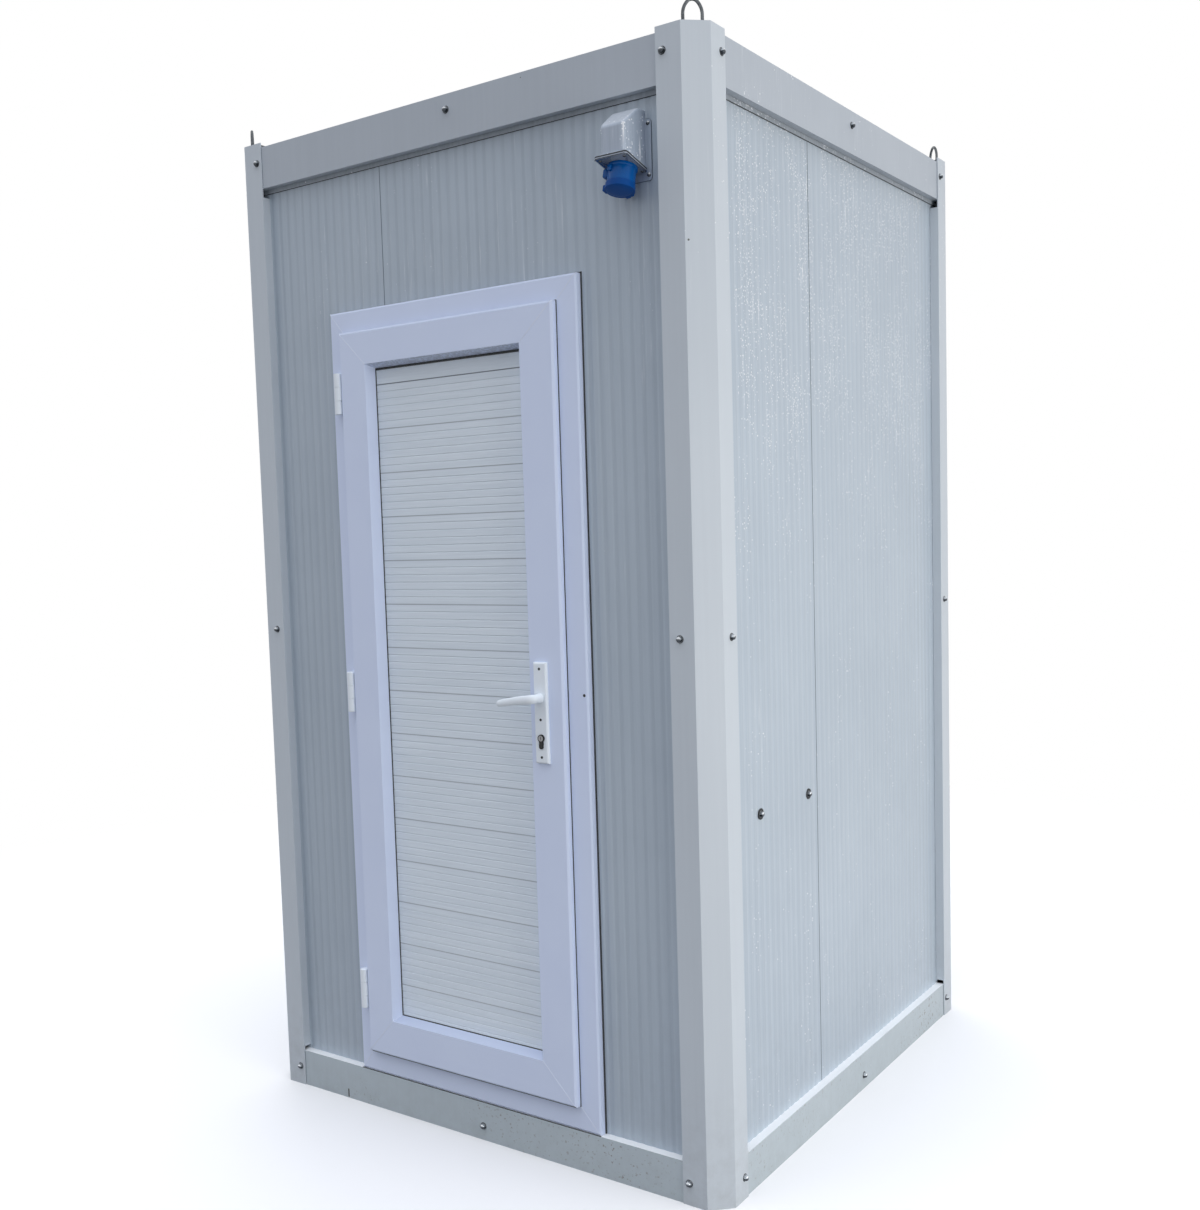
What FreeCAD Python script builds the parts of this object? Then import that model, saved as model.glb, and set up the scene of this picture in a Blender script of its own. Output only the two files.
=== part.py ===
import FreeCAD, Part
import math
import os

os.makedirs("parts", exist_ok=True)
Vec = FreeCAD.Vector
X_AXIS = Vec(1, 0, 0)
Y_AXIS = Vec(0, 1, 0)
Z_AXIS = Vec(0, 0, 1)
ORIGIN = Vec(0, 0, 0)

# Millimetres. X is the width, Y the depth with the door at the low end, Z is up.
# The origin is on the ground, in the middle between the corner posts.

# How far a cutting shape runs past the face that it cuts
past = 1.0

# Cabin, outside over the corner posts
cabin_width = 1390.0
cabin_depth = 1480.0
cabin_height = 2500.0

# Folded steel sheet of posts and beams
sheet = 3.0
post_flange = 60.0
post_corner = 45.0
post_return_gap = 10.0
post_slot = 22.0
beam_end_gap = 0.75
roof_beam_drop = 11.0
roof_beam_face = 104.0
roof_beam_top_flange = 80.0
floor_beam_face = 96.0
floor_beam_top_flange = 100.0
floor_beam_bottom_flange = 60.0
flange_end_gap = 0.5

# Sandwich panels
panel_setback = 24.0
panel_thickness = 40.0
panel_bite = 26.0
panel_end_gap = 4.0
rib_pitch = 27.4
rib_mouth = 15.7
rib_slope = 4.0
rib_depth = 1.0
seam_gap = 1.2
tongue_length = 12.0
tongue_thickness = 10.0
tongue_gap = 0.3
front_seam_x = -204.0
side_seam_y = -190.0
back_seam_x = 0.0

# Roof panel
roof_core = 60.0
roof_rib_height = 15.0
roof_rib_base = 60.0
roof_rib_crest = 32.0
roof_rib_pitch = 190.0
roof_rib_count = 7
roof_gap = 8.0
roof_corner_gap = 5.0

# Floor
joist_width = 40.0
joist_height = 60.0
joist_wall = 2.5
joist_pitch = 300.0
joist_count = 4
joist_end_gap = 0.3
floor_board_thickness = 18.0
floor_covering_thickness = 2.0
floor_edge_gap = 0.3

# Bolts of the frame
bolt_shank = 4.8
bolt_hole_gap = 0.2
bolt_washer = 8.0
bolt_washer_thickness = 1.6
bolt_hexagon = 6.5
bolt_head_height = 4.5
bolt_nut = 7.5
bolt_nut_height = 6.0
corner_bolt_inset = 44.0
middle_bolt_inset = 35.0
top_bolt_drop = 50.0
bottom_bolt_height = 50.0
post_screw_height = 1245.0
post_screw_bite = 25.0
beam_bolt_offset = 28.0
roof_beam_bolt_drop = 46.0
floor_beam_bolt_height = 36.0

# Lifting eyes
eye_plate = 6.0
eye_bar = 3.5
eye_half_gap = 20.5
eye_height = 53.5
eye_shoulder_radius = 36.2
eye_shoulder_turn = 45.0
eye_inset = 20.0

# Door frame, outside sizes and rebates
frame_half_width = 374.0
frame_top = 2040.0
frame_proud = 20.0
frame_depth = 60.0
frame_left_width = 58.0
frame_right_width = 68.0
frame_top_width = 68.0
frame_sill_width = 74.0
frame_stop = 16.0
frame_stop_depth = 22.0
frame_bevel = 4.0
frame_panel_gap = 2.0

# Door leaf
leaf_gap = 4.0
leaf_proud = 18.0
leaf_frame_gap = 1.0
leaf_overlap = 18.0
leaf_stop_gap = 2.0
leaf_bevel = 5.0
stile_width = 85.0
lock_stile_width = 92.0
top_rail_width = 83.0
bottom_rail_width = 94.0
glazing_slope = 10.0
glazing_depth = 30.0
glazing_rebate = 14.0
infill_thickness = 18.0
infill_edge_gap = 1.0
board_pitch = 108.0
board_top_strip = 50.0
board_groove_count = 6
board_groove_width = 3.0
board_groove_depth = 1.0
board_joint_gap = 0.3
bead_width = 18.0

# Hinges
hinge_radius = 11.0
hinge_leaf_gap = 1.0
hinge_axis_depth = 6.0
hinge_pin_radius = 4.0
hinge_pin_gap = 0.05
hinge_length = 100.0
hinge_knuckle_gap = 0.3
hinge_low_height = 319.0
hinge_middle_height = 1091.0
hinge_high_height = 1838.0
hinge_arm_width = 12.0
hinge_arm_depth = 12.0
hinge_arm_setback = 1.0

# Lock, handle plates and levers
lock_backset = 41.0
lock_toward_street = 8.5
handle_height = 1105.6
cylinder_drop = 92.0
plate_width = 36.5
plate_top_above = 81.4
plate_bottom_below = 150.6
plate_thickness = 9.0
plate_bevel = 3.0
hub_radius = 9.0
hub_gap = 0.05
hub_foot_radius = 12.5
lever_reach = 101.0
lever_tip_drop = 14.6
lever_root = 11.0
lever_tip = 9.0
lever_thickness = 11.0
lever_standoff = 26.0
lever_root_start = 1.0
spindle = 8.0
spindle_hole = 8.0
case_width = 60.0
case_height = 260.0
case_below = 175.6
case_thickness = 16.0
case_wall = 1.5
case_gap = 0.3
forend_width = 18.0
forend_height = 280.0
forend_thickness = 2.0
latch_height = 18.0
latch_thickness = 10.0
latch_throw = 14.0
latch_body = 19.0
latch_nose = 3.0
dead_bolt_drop = 55.6
dead_bolt_height = 20.0
dead_bolt_thickness = 9.0
dead_bolt_length = 27.0
dead_bolt_travel = 20.0
bolt_guide_gap = 0.06
strike_thickness = 2.0
strike_width = 24.0
strike_height = 180.0
keep_margin = 3.0
latch_keep_depth = 5.0
cylinder_head = 8.5
cylinder_foot = 5.0
cylinder_height = 33.0
cylinder_proud = 3.0
cylinder_hole_gap = 0.2
plug_radius = 6.5
plug_gap = 0.05
cam_radius = 15.0
cam_width = 8.0
cam_thickness = 9.4
cam_gap = 0.4
cam_tip_gap = 1.0
key_slot_width = 1.4
key_slot_height = 8.0
key_slot_depth = 5.0

# Supply housing over the door, inlet and its hinged cap
housing_post_gap = 77.0
housing_width = 70.0
housing_depth = 80.0
housing_draft = 5.0
housing_corner = 12.0
housing_lip_drop = 253.0
housing_shoulder_drop = 190.0
housing_top_drop = 150.0
housing_top_depth = 24.0
housing_wall = 3.0
housing_plate_width = 98.0
housing_plate_low_drop = 295.0
housing_plate_high_drop = 170.0
housing_plate_thickness = 2.0
housing_plate_bevel = 1.0
cable_hole = 12.0
inlet_tilt = 15.0
inlet_shift = 3.5
inlet_flange = 4.0
inlet_flange_half = 38.0
inlet_flange_front = 49.0
inlet_flange_back = 35.0
inlet_radius = 30.0
inlet_wall = 2.5
inlet_length = 48.0
inlet_floor = 4.0
pin_radius = 3.0
pin_length = 30.0
pin_circle = 14.0
pin_count = 3
cap_radius = 31.9
cap_thickness = 7.5
cap_skirt = 6.0
cap_gap = 0.4
cap_hinge_reach = 36.0
cap_pin_radius = 2.0
cap_knuckle_radius = 4.5
cap_knuckle_half = 4.7
cap_ear = 5.0
cap_ear_gap = 0.3
cap_turn_gap = 1.0
cap_nub_reach = 4.0
cap_nub_back = 2.0
cap_nub_front = 12.0
cap_nub_step = 1.0

# Toilet
pan_width = 360.0
pan_length = 650.0
pan_rim_length = 430.0
pan_height = 384.0
pan_foot_width = 220.0
pan_foot_length = 360.0
pan_bowl_width = 250.0
pan_bowl_length = 320.0
pan_bowl_depth = 190.0
pan_sump_width = 110.0
pan_sump_length = 130.0
pan_shelf_width = 220.0
pan_shelf_start = 100.0
pan_foot_back = 60.0
pan_waist_rise = 153.6
pan_waist_width = 198.0
pan_waist_length = 324.0
pan_rim_band = 45.0
pan_neck_drop = 70.0
pan_neck_width = 230.0
pan_neck_length = 294.4
cistern_width = 380.0
cistern_depth = 170.0
cistern_height = 396.0
cistern_wall = 8.0
cistern_edge = 12.0
flush_radius = 20.0
flush_gap = 0.3
flush_height = 9.0
flush_proud = 5.5
seat_gap = 0.3
seat_thickness = 20.0
seat_rim = 55.0
lid_thickness = 15.0
lid_gap = 3.7
lid_open_angle = 93.0
seat_axis_back = 0.5
seat_post_x = 65.0
seat_post_width = 20.0
seat_post_depth = 16.0
seat_post_height = 28.0
seat_pin_radius = 4.0
seat_pin_length = 15.0
seat_lug_radius = 8.0
seat_lug_reach = 40.0
seat_lug_lift = 3.0
seat_lug_gap = 0.3
seat_post_clearance = 2.0
seat_taper = 8.0
lid_lug_reach = 50.0
lid_taper = 12.0

# Wash basin
basin_centre_y = -367.0
basin_width = 400.0
basin_depth = 300.0
basin_height = 920.0
basin_drop = 135.0
basin_foot_width = 260.0
basin_foot_depth = 180.0
basin_ledge = 61.0
basin_rim = 25.0
bowl_depth = 95.0
bowl_foot_width = 170.0
bowl_foot_depth = 110.0
basin_corner = 40.0
basin_bolt_spacing = 254.0
basin_bolt_height = 829.0
basin_bolt_bite = 30.0
waste_radius = 18.0
waste_flange = 28.0
waste_flange_thickness = 3.0
trap_radius = 28.0
trap_low = 640.0
trap_high = 740.0
trap_outlet_radius = 16.0
trap_outlet_drop = 10.0
grate_hole = 3.0
grate_pitch = 8.0
grate_depth = 8.0
tap_radius = 22.0
tap_height = 60.0
tap_spout = 105.0
tap_spout_radius = 9.0
tap_spout_drop = 20.0
tap_spout_rise = 12.0
tap_nose_radius = 10.0
tap_nose_length = 24.0
tap_nose_back = 2.0
tap_stub_radius = 6.0
tap_stub_height = 8.0
tap_lever_radius = 18.0
tap_lever_height = 12.0
tap_lever_length = 70.0
tap_lever_half_width = 8.0
tap_lever_bar = 7.0
tap_lever_gap = 0.3
tap_turn_gap = 0.05

# Light and switch
light_radius = 125.0
light_base = 16.0
light_dome = 30.0
switch_x = 470.0
switch_height = 1140.0
switch_size = 80.0
switch_thickness = 14.0
rocker_size = 52.0
rocker_thickness = 5.0
rocker_gap = 0.6
rocker_tilt = 4.0
rocker_pin = 2.0
rocker_pin_gap = 0.05
rocker_pin_reach = 3.0
rocker_pin_end_gap = 0.2
switch_bevel = 2.0
switch_floor = 3.0

# Places that follow from the sizes above
half_width = cabin_width / 2
half_depth = cabin_depth / 2
wall_x = half_width - panel_setback
wall_y = half_depth - panel_setback
room_x = wall_x - panel_thickness
room_y = wall_y - panel_thickness
web_x = half_width - sheet
web_y = half_depth - sheet
web_inner_x = web_x - sheet
web_inner_y = web_y - sheet
fold_shift = sheet * math.tan(math.radians(22.5))
fold_x = half_width - post_corner
fold_y = half_depth - post_corner
inner_fold_x = fold_x - fold_shift
inner_fold_y = fold_y - fold_shift
flange_end_x = fold_x - post_flange
flange_end_y = fold_y - post_flange
beam_end_x = inner_fold_x - beam_end_gap
beam_end_y = inner_fold_y - beam_end_gap
roof_beam_top = cabin_height - roof_beam_drop
roof_beam_bottom = roof_beam_top - roof_beam_face
panel_bottom = floor_beam_face
panel_top = roof_beam_bottom + panel_bite
floor_top = floor_beam_face + floor_board_thickness + floor_covering_thickness
frame_front = -(wall_y + frame_proud)
frame_back = frame_front + frame_depth
opening_left = -frame_half_width + frame_left_width
opening_right = frame_half_width - frame_right_width
opening_bottom = panel_bottom + frame_sill_width
opening_top = frame_top - frame_top_width
stop_front = frame_back - frame_stop_depth
leaf_front = frame_front - leaf_proud
leaf_back = stop_front - leaf_stop_gap
body_left = opening_left + leaf_gap
body_right = opening_right - leaf_gap
body_bottom = opening_bottom + leaf_gap
body_top = opening_top - leaf_gap
leaf_left = body_left - leaf_overlap
leaf_right = body_right + leaf_overlap
leaf_bottom = body_bottom - leaf_overlap
leaf_top = body_top + leaf_overlap
flange_back = frame_front - leaf_frame_gap
light_left = leaf_left + stile_width
light_right = leaf_right - lock_stile_width
light_bottom = leaf_bottom + bottom_rail_width
light_top = leaf_top - top_rail_width
infill_front = leaf_front + glazing_depth
infill_back = infill_front + infill_thickness
hinge_x = leaf_left - hinge_leaf_gap - hinge_radius
hinge_y = leaf_front + hinge_axis_depth
lock_x = body_right - lock_backset
lock_y = (flange_back + leaf_back) / 2 - lock_toward_street
cylinder_z = handle_height - cylinder_drop
plate_front = leaf_front - plate_thickness
inner_plate_back = leaf_back + plate_thickness
seat_axis_y = room_y - pan_length + pan_rim_length - seat_axis_back
rim_z = floor_top + pan_height
seat_axis_z = rim_z + seat_thickness
basin_bottom = basin_height - basin_drop
housing_centre_x = flange_end_x - housing_post_gap
housing_lip_height = cabin_height - housing_lip_drop
housing_shoulder = cabin_height - housing_shoulder_drop
housing_top = cabin_height - housing_top_drop
housing_plate_low = cabin_height - housing_plate_low_drop
housing_plate_high = cabin_height - housing_plate_high_drop


def box(x, y, z):
    """A block between the low and high ends given for each direction."""
    return Part.makeBox(x[1] - x[0], y[1] - y[0], z[1] - z[0], Vec(x[0], y[0], z[0]))


def rod(start, end, radius):
    """A round bar from one point to another."""
    run = end - start
    return Part.makeCylinder(radius, run.Length, start, run)


def floor_prism(points, z):
    """An outline drawn in X and Y, raised between two heights."""
    wire = Part.makePolygon([Vec(px, py, z[0]) for px, py in points + points[:1]])
    return Part.Face(wire).extrude(Z_AXIS * (z[1] - z[0]))


def side_prism(points, x):
    """An outline drawn in Y and Z, drawn out along X."""
    wire = Part.makePolygon([Vec(x[0], py, pz) for py, pz in points + points[:1]])
    return Part.Face(wire).extrude(X_AXIS * (x[1] - x[0]))


def front_prism(points, y):
    """An outline drawn in X and Z, drawn out along Y."""
    wire = Part.makePolygon([Vec(px, y[0], pz) for px, pz in points + points[:1]])
    return Part.Face(wire).extrude(Y_AXIS * (y[1] - y[0]))


def front_rectangle(x, z, y, inset):
    """A rectangle standing at depth y, drawn in by inset on every side."""
    low = Vec(x[0] + inset, y, z[0] + inset)
    high = Vec(x[1] - inset, y, z[1] - inset)
    corners = [low, Vec(high.x, y, low.z), high, Vec(low.x, y, high.z), low]
    return Part.makePolygon(corners)


def bevelled_block(x, y, z, bevel, near=True):
    """A block whose edges round one Y face are bevelled."""
    outer, inner = (y[0], y[0] + bevel) if near else (y[1], y[1] - bevel)
    rest = (inner, y[1]) if near else (y[0], inner)
    wires = [front_rectangle(x, z, outer, bevel), front_rectangle(x, z, inner, 0)]
    return Part.makeLoft(wires, True, True).fuse(box(x, rest, z)).removeSplitter()


def oval(centre_x, centre_y, width, length, z):
    """A closed oval wire, width along X and length along Y."""
    flat = Part.Ellipse(Vec(centre_x, centre_y, z), max(width, length) / 2, min(width, length) / 2)
    if length > width:
        flat.rotate(FreeCAD.Placement(Vec(centre_x, centre_y, z), FreeCAD.Rotation(Z_AXIS, 90)))
        flat.Center = Vec(centre_x, centre_y, z)
    return Part.Wire(flat.toShape())


def rounded_rectangle(x, y, radius, z):
    """A rectangle with round corners at one height."""
    slab = box(x, y, (z, z + 1))
    uprights = [edge for edge in slab.Edges if abs(edge.tangentAt(edge.FirstParameter).z) > 0.99]
    face = min(slab.makeFillet(radius, uprights).Faces, key=lambda item: item.CenterOfMass.z)
    return face.OuterWire


def mirror_x(shape):
    return shape.mirror(ORIGIN, X_AXIS)


def mirror_y(shape):
    return shape.mirror(ORIGIN, Y_AXIS)


def save(name, *pieces):
    """Write one node, of one solid or of a group of separate solids."""
    solids = [solid for piece in pieces for solid in piece.Solids]
    shape = solids[0] if len(solids) == 1 else Part.makeCompound(solids)
    bad = [index for index, solid in enumerate(solids) if not solid.isValid()]
    print(name, len(solids), "solids", "invalid" if bad else "valid", round(shape.Volume / 1000.0, 1), "cm3")
    shape.exportStep("parts/" + name + ".step")


# Places of the bolts on the front face (x, height) and on the right face (y, height)
corner_heights = [bottom_bolt_height, cabin_height - top_bolt_drop]
front_corner_bolts = [(side * (fold_x - corner_bolt_inset), z) for side in (-1, 1) for z in corner_heights]
side_corner_bolts = [(side * (fold_y - corner_bolt_inset), z) for side in (-1, 1) for z in corner_heights]
beam_bolts = [(beam_bolt_offset, floor_beam_bolt_height),
              (beam_bolt_offset, cabin_height - roof_beam_bolt_drop)]
front_post_screws = [(side * (fold_x - middle_bolt_inset), post_screw_height) for side in (-1, 1)]
side_post_screws = [(side * (fold_y - middle_bolt_inset), post_screw_height) for side in (-1, 1)]


def bolt(head_face, shank_end, nut):
    """A bolt along Y at x = 0, z = 0 with its head outside at -Y; its nut sits behind the sheet."""
    washer = rod(Vec(0, head_face, 0), Vec(0, head_face - bolt_washer_thickness, 0), bolt_washer)
    corners = [(bolt_hexagon * math.cos(math.radians(60 * k)), bolt_hexagon * math.sin(math.radians(60 * k)))
               for k in range(6)]
    head_top = head_face - bolt_washer_thickness - bolt_head_height
    hexagon = front_prism(corners, (head_top, head_face - bolt_washer_thickness))
    shank = rod(Vec(0, head_face, 0), Vec(0, shank_end, 0), bolt_shank)
    solid = washer.fuse(hexagon).fuse(shank)
    if nut:
        solid = solid.fuse(rod(Vec(0, shank_end - bolt_nut_height, 0), Vec(0, shank_end, 0), bolt_nut))
    return solid.removeSplitter()


def onto_front(shape, place, spin=0):
    """Move a piece drawn at x = 0, z = 0 to its place on the front, or on a face turned from it."""
    moved = shape.copy()
    moved.translate(Vec(place[0], 0, place[1]))
    moved.rotate(ORIGIN, Z_AXIS, spin)
    return moved


def all_round(front_shapes, side_shapes):
    """Front shapes and their copies on the back; side shapes, drawn as for the front, on both sides."""
    turned = [shape.copy() for shape in side_shapes]
    for shape in turned:
        shape.rotate(ORIGIN, Z_AXIS, 90)
    return (front_shapes + [mirror_y(shape) for shape in front_shapes]
            + turned + [mirror_x(shape) for shape in turned])


def bolt_set(front_faces, side_faces, shape_maker):
    """Shapes at the listed places; each face gives its list of places and what the maker needs."""
    front = [onto_front(shape_maker(half_depth, kind), place)
             for places, kind in front_faces for place in places]
    side = [onto_front(shape_maker(half_width, kind), place)
            for places, kind in side_faces for place in places]
    return all_round(front, side)


def fastener(face, kind):
    if kind == "corner":
        return bolt(-face, -face + 2 * sheet + bolt_nut_height, True)
    if kind == "beam":
        return bolt(-face + sheet, -face + 2 * sheet + bolt_nut_height, True)
    return bolt(-face, -face + panel_setback + post_screw_bite, False)


def fastener_hole(face, kind):
    depth = panel_setback + post_screw_bite + bolt_hole_gap if kind == "post" else 2 * sheet
    return rod(Vec(0, -face - past, 0), Vec(0, -face + depth, 0), bolt_shank + bolt_hole_gap)


front_faces = [(front_corner_bolts, "corner"), (beam_bolts, "beam"), (front_post_screws, "post")]
side_faces = [(side_corner_bolts, "corner"), (beam_bolts, "beam"), (side_post_screws, "post")]
bolt_holes = Part.makeCompound(bolt_set(front_faces, side_faces, fastener_hole))


# Corner posts: folded sheet with a 45 degree corner and inward returns that meet the wall panels
def corner_post():
    outer = [(flange_end_x, -half_depth), (fold_x, -half_depth), (half_width, -fold_y),
             (half_width, -flange_end_y)]
    inner = [(web_x, -flange_end_y), (web_x, -inner_fold_y), (inner_fold_x, -web_y), (flange_end_x, -web_y)]
    return_z = (floor_beam_face + post_return_gap, roof_beam_bottom - post_slot)
    front_return = box((flange_end_x, flange_end_x + sheet), (-web_y, -wall_y), return_z)
    side_return = box((wall_x, web_x), (-flange_end_y - sheet, -flange_end_y), return_z)
    return floor_prism(outer + inner, (0, cabin_height)).fuse([front_return, side_return]).removeSplitter()


post = corner_post()
save("post_front_right", post.cut(bolt_holes))
save("post_front_left", mirror_x(post).cut(bolt_holes))
save("post_back_right", mirror_y(post).cut(bolt_holes))
save("post_back_left", mirror_x(mirror_y(post)).cut(bolt_holes))


# Floor and roof beams: folded C sections behind the post flanges
def front_beam(bottom, top, top_flange, bottom_flange):
    ends = (-beam_end_x, beam_end_x)
    web = box(ends, (-web_y, -web_inner_y), (bottom, top))
    upper = box(ends, (-web_y, -web_y + top_flange), (top - sheet, top))
    lower = box(ends, (-web_y, -web_y + bottom_flange), (bottom, bottom + sheet))
    return web.fuse([upper, lower]).removeSplitter().cut(bolt_holes)


def side_beam(bottom, top, top_flange, bottom_flange):
    web = box((web_inner_x, web_x), (-beam_end_y, beam_end_y), (bottom, top))
    upper_end = web_y - top_flange - flange_end_gap
    lower_end = min(beam_end_y, web_y - bottom_flange - flange_end_gap)
    upper = box((web_x - top_flange, web_x), (-upper_end, upper_end), (top - sheet, top))
    lower = box((web_x - bottom_flange, web_x), (-lower_end, lower_end), (bottom, bottom + sheet))
    return web.fuse([upper, lower]).removeSplitter().cut(bolt_holes)


roof_front_beam = front_beam(roof_beam_bottom, roof_beam_top, roof_beam_top_flange, panel_setback - sheet)
roof_side_beam = side_beam(roof_beam_bottom, roof_beam_top, roof_beam_top_flange, panel_setback - sheet)
floor_front_beam = front_beam(0, floor_beam_face, floor_beam_top_flange, floor_beam_bottom_flange)
floor_side_beam = side_beam(0, floor_beam_face, floor_beam_top_flange, floor_beam_bottom_flange)
save("roof_beam_front", roof_front_beam)
save("roof_beam_back", mirror_y(roof_front_beam))
save("roof_beam_right", roof_side_beam)
save("roof_beam_left", mirror_x(roof_side_beam))
save("floor_beam_front", floor_front_beam)
save("floor_beam_back", mirror_y(floor_front_beam))
save("floor_beam_right", floor_side_beam)
save("floor_beam_left", mirror_x(floor_side_beam))

# Bolts that hold posts, beams and panels together
save("frame_bolts", *bolt_set(front_faces, side_faces, fastener))


# Lifting eyes: a round bar bent to an arch and welded on a plate in each roof corner
def lifting_eye():
    plate_z = (roof_beam_top, roof_beam_top + eye_plate)
    outline = [(flange_end_x, -web_y), (inner_fold_x, -web_y), (web_x, -inner_fold_y),
               (web_x, -flange_end_y), (flange_end_x, -flange_end_y)]
    turn = math.radians(eye_shoulder_turn)
    shoulder_in = eye_shoulder_radius * (1 - math.cos(turn))
    crown = (eye_half_gap - shoulder_in) / math.cos(turn)
    leg_top = eye_height - eye_shoulder_radius * math.sin(turn) - crown * (1 - math.sin(turn))
    half = turn / 2
    middle = (turn + math.pi / 2) / 2
    crown_centre = eye_height - crown
    shoulder_mid = (eye_half_gap - eye_shoulder_radius * (1 - math.cos(half)),
                    leg_top + eye_shoulder_radius * math.sin(half))
    shoulder_end = (eye_half_gap - shoulder_in, leg_top + eye_shoulder_radius * math.sin(turn))
    crown_mid = (crown * math.cos(middle), crown_centre + crown * math.sin(middle))

    def at(place, side=1):
        return Vec(side * place[0], 0, plate_z[1] + place[1])

    top = (0, eye_height)
    foot = (eye_half_gap, -eye_plate / 2)
    knee = (eye_half_gap, leg_top)
    edges = [Part.LineSegment(at(foot, -1), at(knee, -1)).toShape(),
             Part.Arc(at(knee, -1), at(shoulder_mid, -1), at(shoulder_end, -1)).toShape(),
             Part.Arc(at(shoulder_end, -1), at(crown_mid, -1), at(top)).toShape(),
             Part.Arc(at(top), at(crown_mid), at(shoulder_end)).toShape(),
             Part.Arc(at(shoulder_end), at(shoulder_mid), at(knee)).toShape(),
             Part.LineSegment(at(knee), at(foot)).toShape()]
    path = Part.Wire(edges)
    section = Part.Wire(Part.Circle(at(foot, -1), Z_AXIS, eye_bar).toShape())
    bar = path.makePipeShell([section], True, True)
    corner_middle = Vec((fold_x + half_width) / 2, -(half_depth + fold_y) / 2, 0)
    inward = Vec(-1, 1, 0).normalize() * eye_inset
    bar.rotate(ORIGIN, Z_AXIS, 45)
    bar.translate(corner_middle + inward)
    return floor_prism(outline, plate_z).fuse(bar)


eye = lifting_eye()
save("lifting_eyes", eye, mirror_x(eye), mirror_y(eye), mirror_x(mirror_y(eye)))

# Floor: joists between the side beams, a board and its vinyl covering
joist_top = floor_beam_face - sheet
joist_end = web_inner_x - joist_end_gap
pad_end = web_x - floor_beam_top_flange - flange_end_gap


def joist(y):
    sides = (y - joist_width / 2, y + joist_width / 2)
    tube = box((-joist_end, joist_end), sides, (joist_top - joist_height, joist_top))
    hollow = box((-joist_end, joist_end), (sides[0] + joist_wall, sides[1] - joist_wall),
                 (joist_top - joist_height + joist_wall, joist_top - joist_wall))
    pad = box((-pad_end, pad_end), sides, (joist_top, floor_beam_face))
    return tube.cut(hollow).fuse(pad)


save("floor_joists", *[joist((k - (joist_count - 1) / 2) * joist_pitch) for k in range(joist_count)])
board_x = room_x - floor_edge_gap
board_y = room_y - floor_edge_gap
board_top = floor_beam_face + floor_board_thickness
save("floor_board", box((-board_x, board_x), (-board_y, board_y), (floor_beam_face, board_top)))
save("floor_covering", box((-board_x, board_x), (-board_y, board_y), (board_top, floor_top)))


# Wall panels: micro-ribbed sheet on a foam core, joined by tongue and groove
def panel_outline(low, high, groove, tongue):
    """Points (along the wall, depth behind the outer face) round one panel seen from above."""
    count = int((high - low) // rib_pitch)
    start = (low + high - count * rib_pitch) / 2
    points = [(low, 0)]
    for k in range(count):
        middle = start + (k + 0.5) * rib_pitch
        points.append((middle - rib_mouth / 2, 0))
        points.append((middle - rib_mouth / 2 + rib_slope, rib_depth))
        points.append((middle + rib_mouth / 2 - rib_slope, rib_depth))
        points.append((middle + rib_mouth / 2, 0))
    points.append((high, 0))
    core = panel_thickness / 2
    half = tongue_thickness / 2
    if tongue:
        points.append((high, core - half))
        points.append((high + tongue_length, core - half))
        points.append((high + tongue_length, core + half))
        points.append((high, core + half))
    points.append((high, panel_thickness))
    points.append((low, panel_thickness))
    if groove:
        reach = tongue_length + tongue_gap - seam_gap
        points.append((low, core + half + tongue_gap))
        points.append((low + reach, core + half + tongue_gap))
        points.append((low + reach, core - half - tongue_gap))
        points.append((low, core - half - tongue_gap))
    return points


def wall_pair(low, high, seam, place):
    """Two panels that meet at the seam, drawn where place puts each point."""
    first = panel_outline(low, seam - seam_gap / 2, False, True)
    second = panel_outline(seam + seam_gap / 2, high, True, False)
    heights = (panel_bottom, panel_top)
    return [floor_prism([place(u, d) for u, d in outline], heights).cut(bolt_holes)
            for outline in (first, second)]


side_wall_end = wall_y - panel_end_gap
front_left, front_right = wall_pair(-room_x, room_x, front_seam_x, lambda u, d: (u, -wall_y + d))
back_left, back_right = wall_pair(-room_x, room_x, back_seam_x, lambda u, d: (u, wall_y - d))
right_front, right_back = wall_pair(-side_wall_end, side_wall_end, side_seam_y, lambda u, d: (wall_x - d, u))
left_front, left_back = wall_pair(-side_wall_end, side_wall_end, side_seam_y, lambda u, d: (-wall_x + d, u))
doorway_side = frame_half_width + frame_panel_gap
doorway = box((-doorway_side, doorway_side), (-wall_y - past, -room_y + past),
              (0, frame_top + frame_panel_gap))
cable_z = (housing_lip_height + housing_shoulder) / 2
cable_way = rod(Vec(housing_centre_x, -wall_y - past, cable_z),
                Vec(housing_centre_x, -room_y + past, cable_z), cable_hole)
basin_bolt_places = [basin_centre_y - basin_bolt_spacing / 2, basin_centre_y + basin_bolt_spacing / 2]
basin_bolt_end = room_x - basin_bolt_bite
basin_bolt_holes = Part.makeCompound([
    rod(Vec(wall_x + past, y, basin_bolt_height), Vec(basin_bolt_end - bolt_hole_gap, y, basin_bolt_height),
        bolt_shank + bolt_hole_gap) for y in basin_bolt_places])
save("front_panel_left", front_left.cut(doorway))
save("front_panel_right", front_right.cut(doorway).cut(cable_way))
save("back_panel_left", back_left)
save("back_panel_right", back_right)
save("right_panel_front", right_front.cut(basin_bolt_holes))
save("right_panel_back", right_back)
save("left_panel_front", left_front)
save("left_panel_back", left_back)


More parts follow.
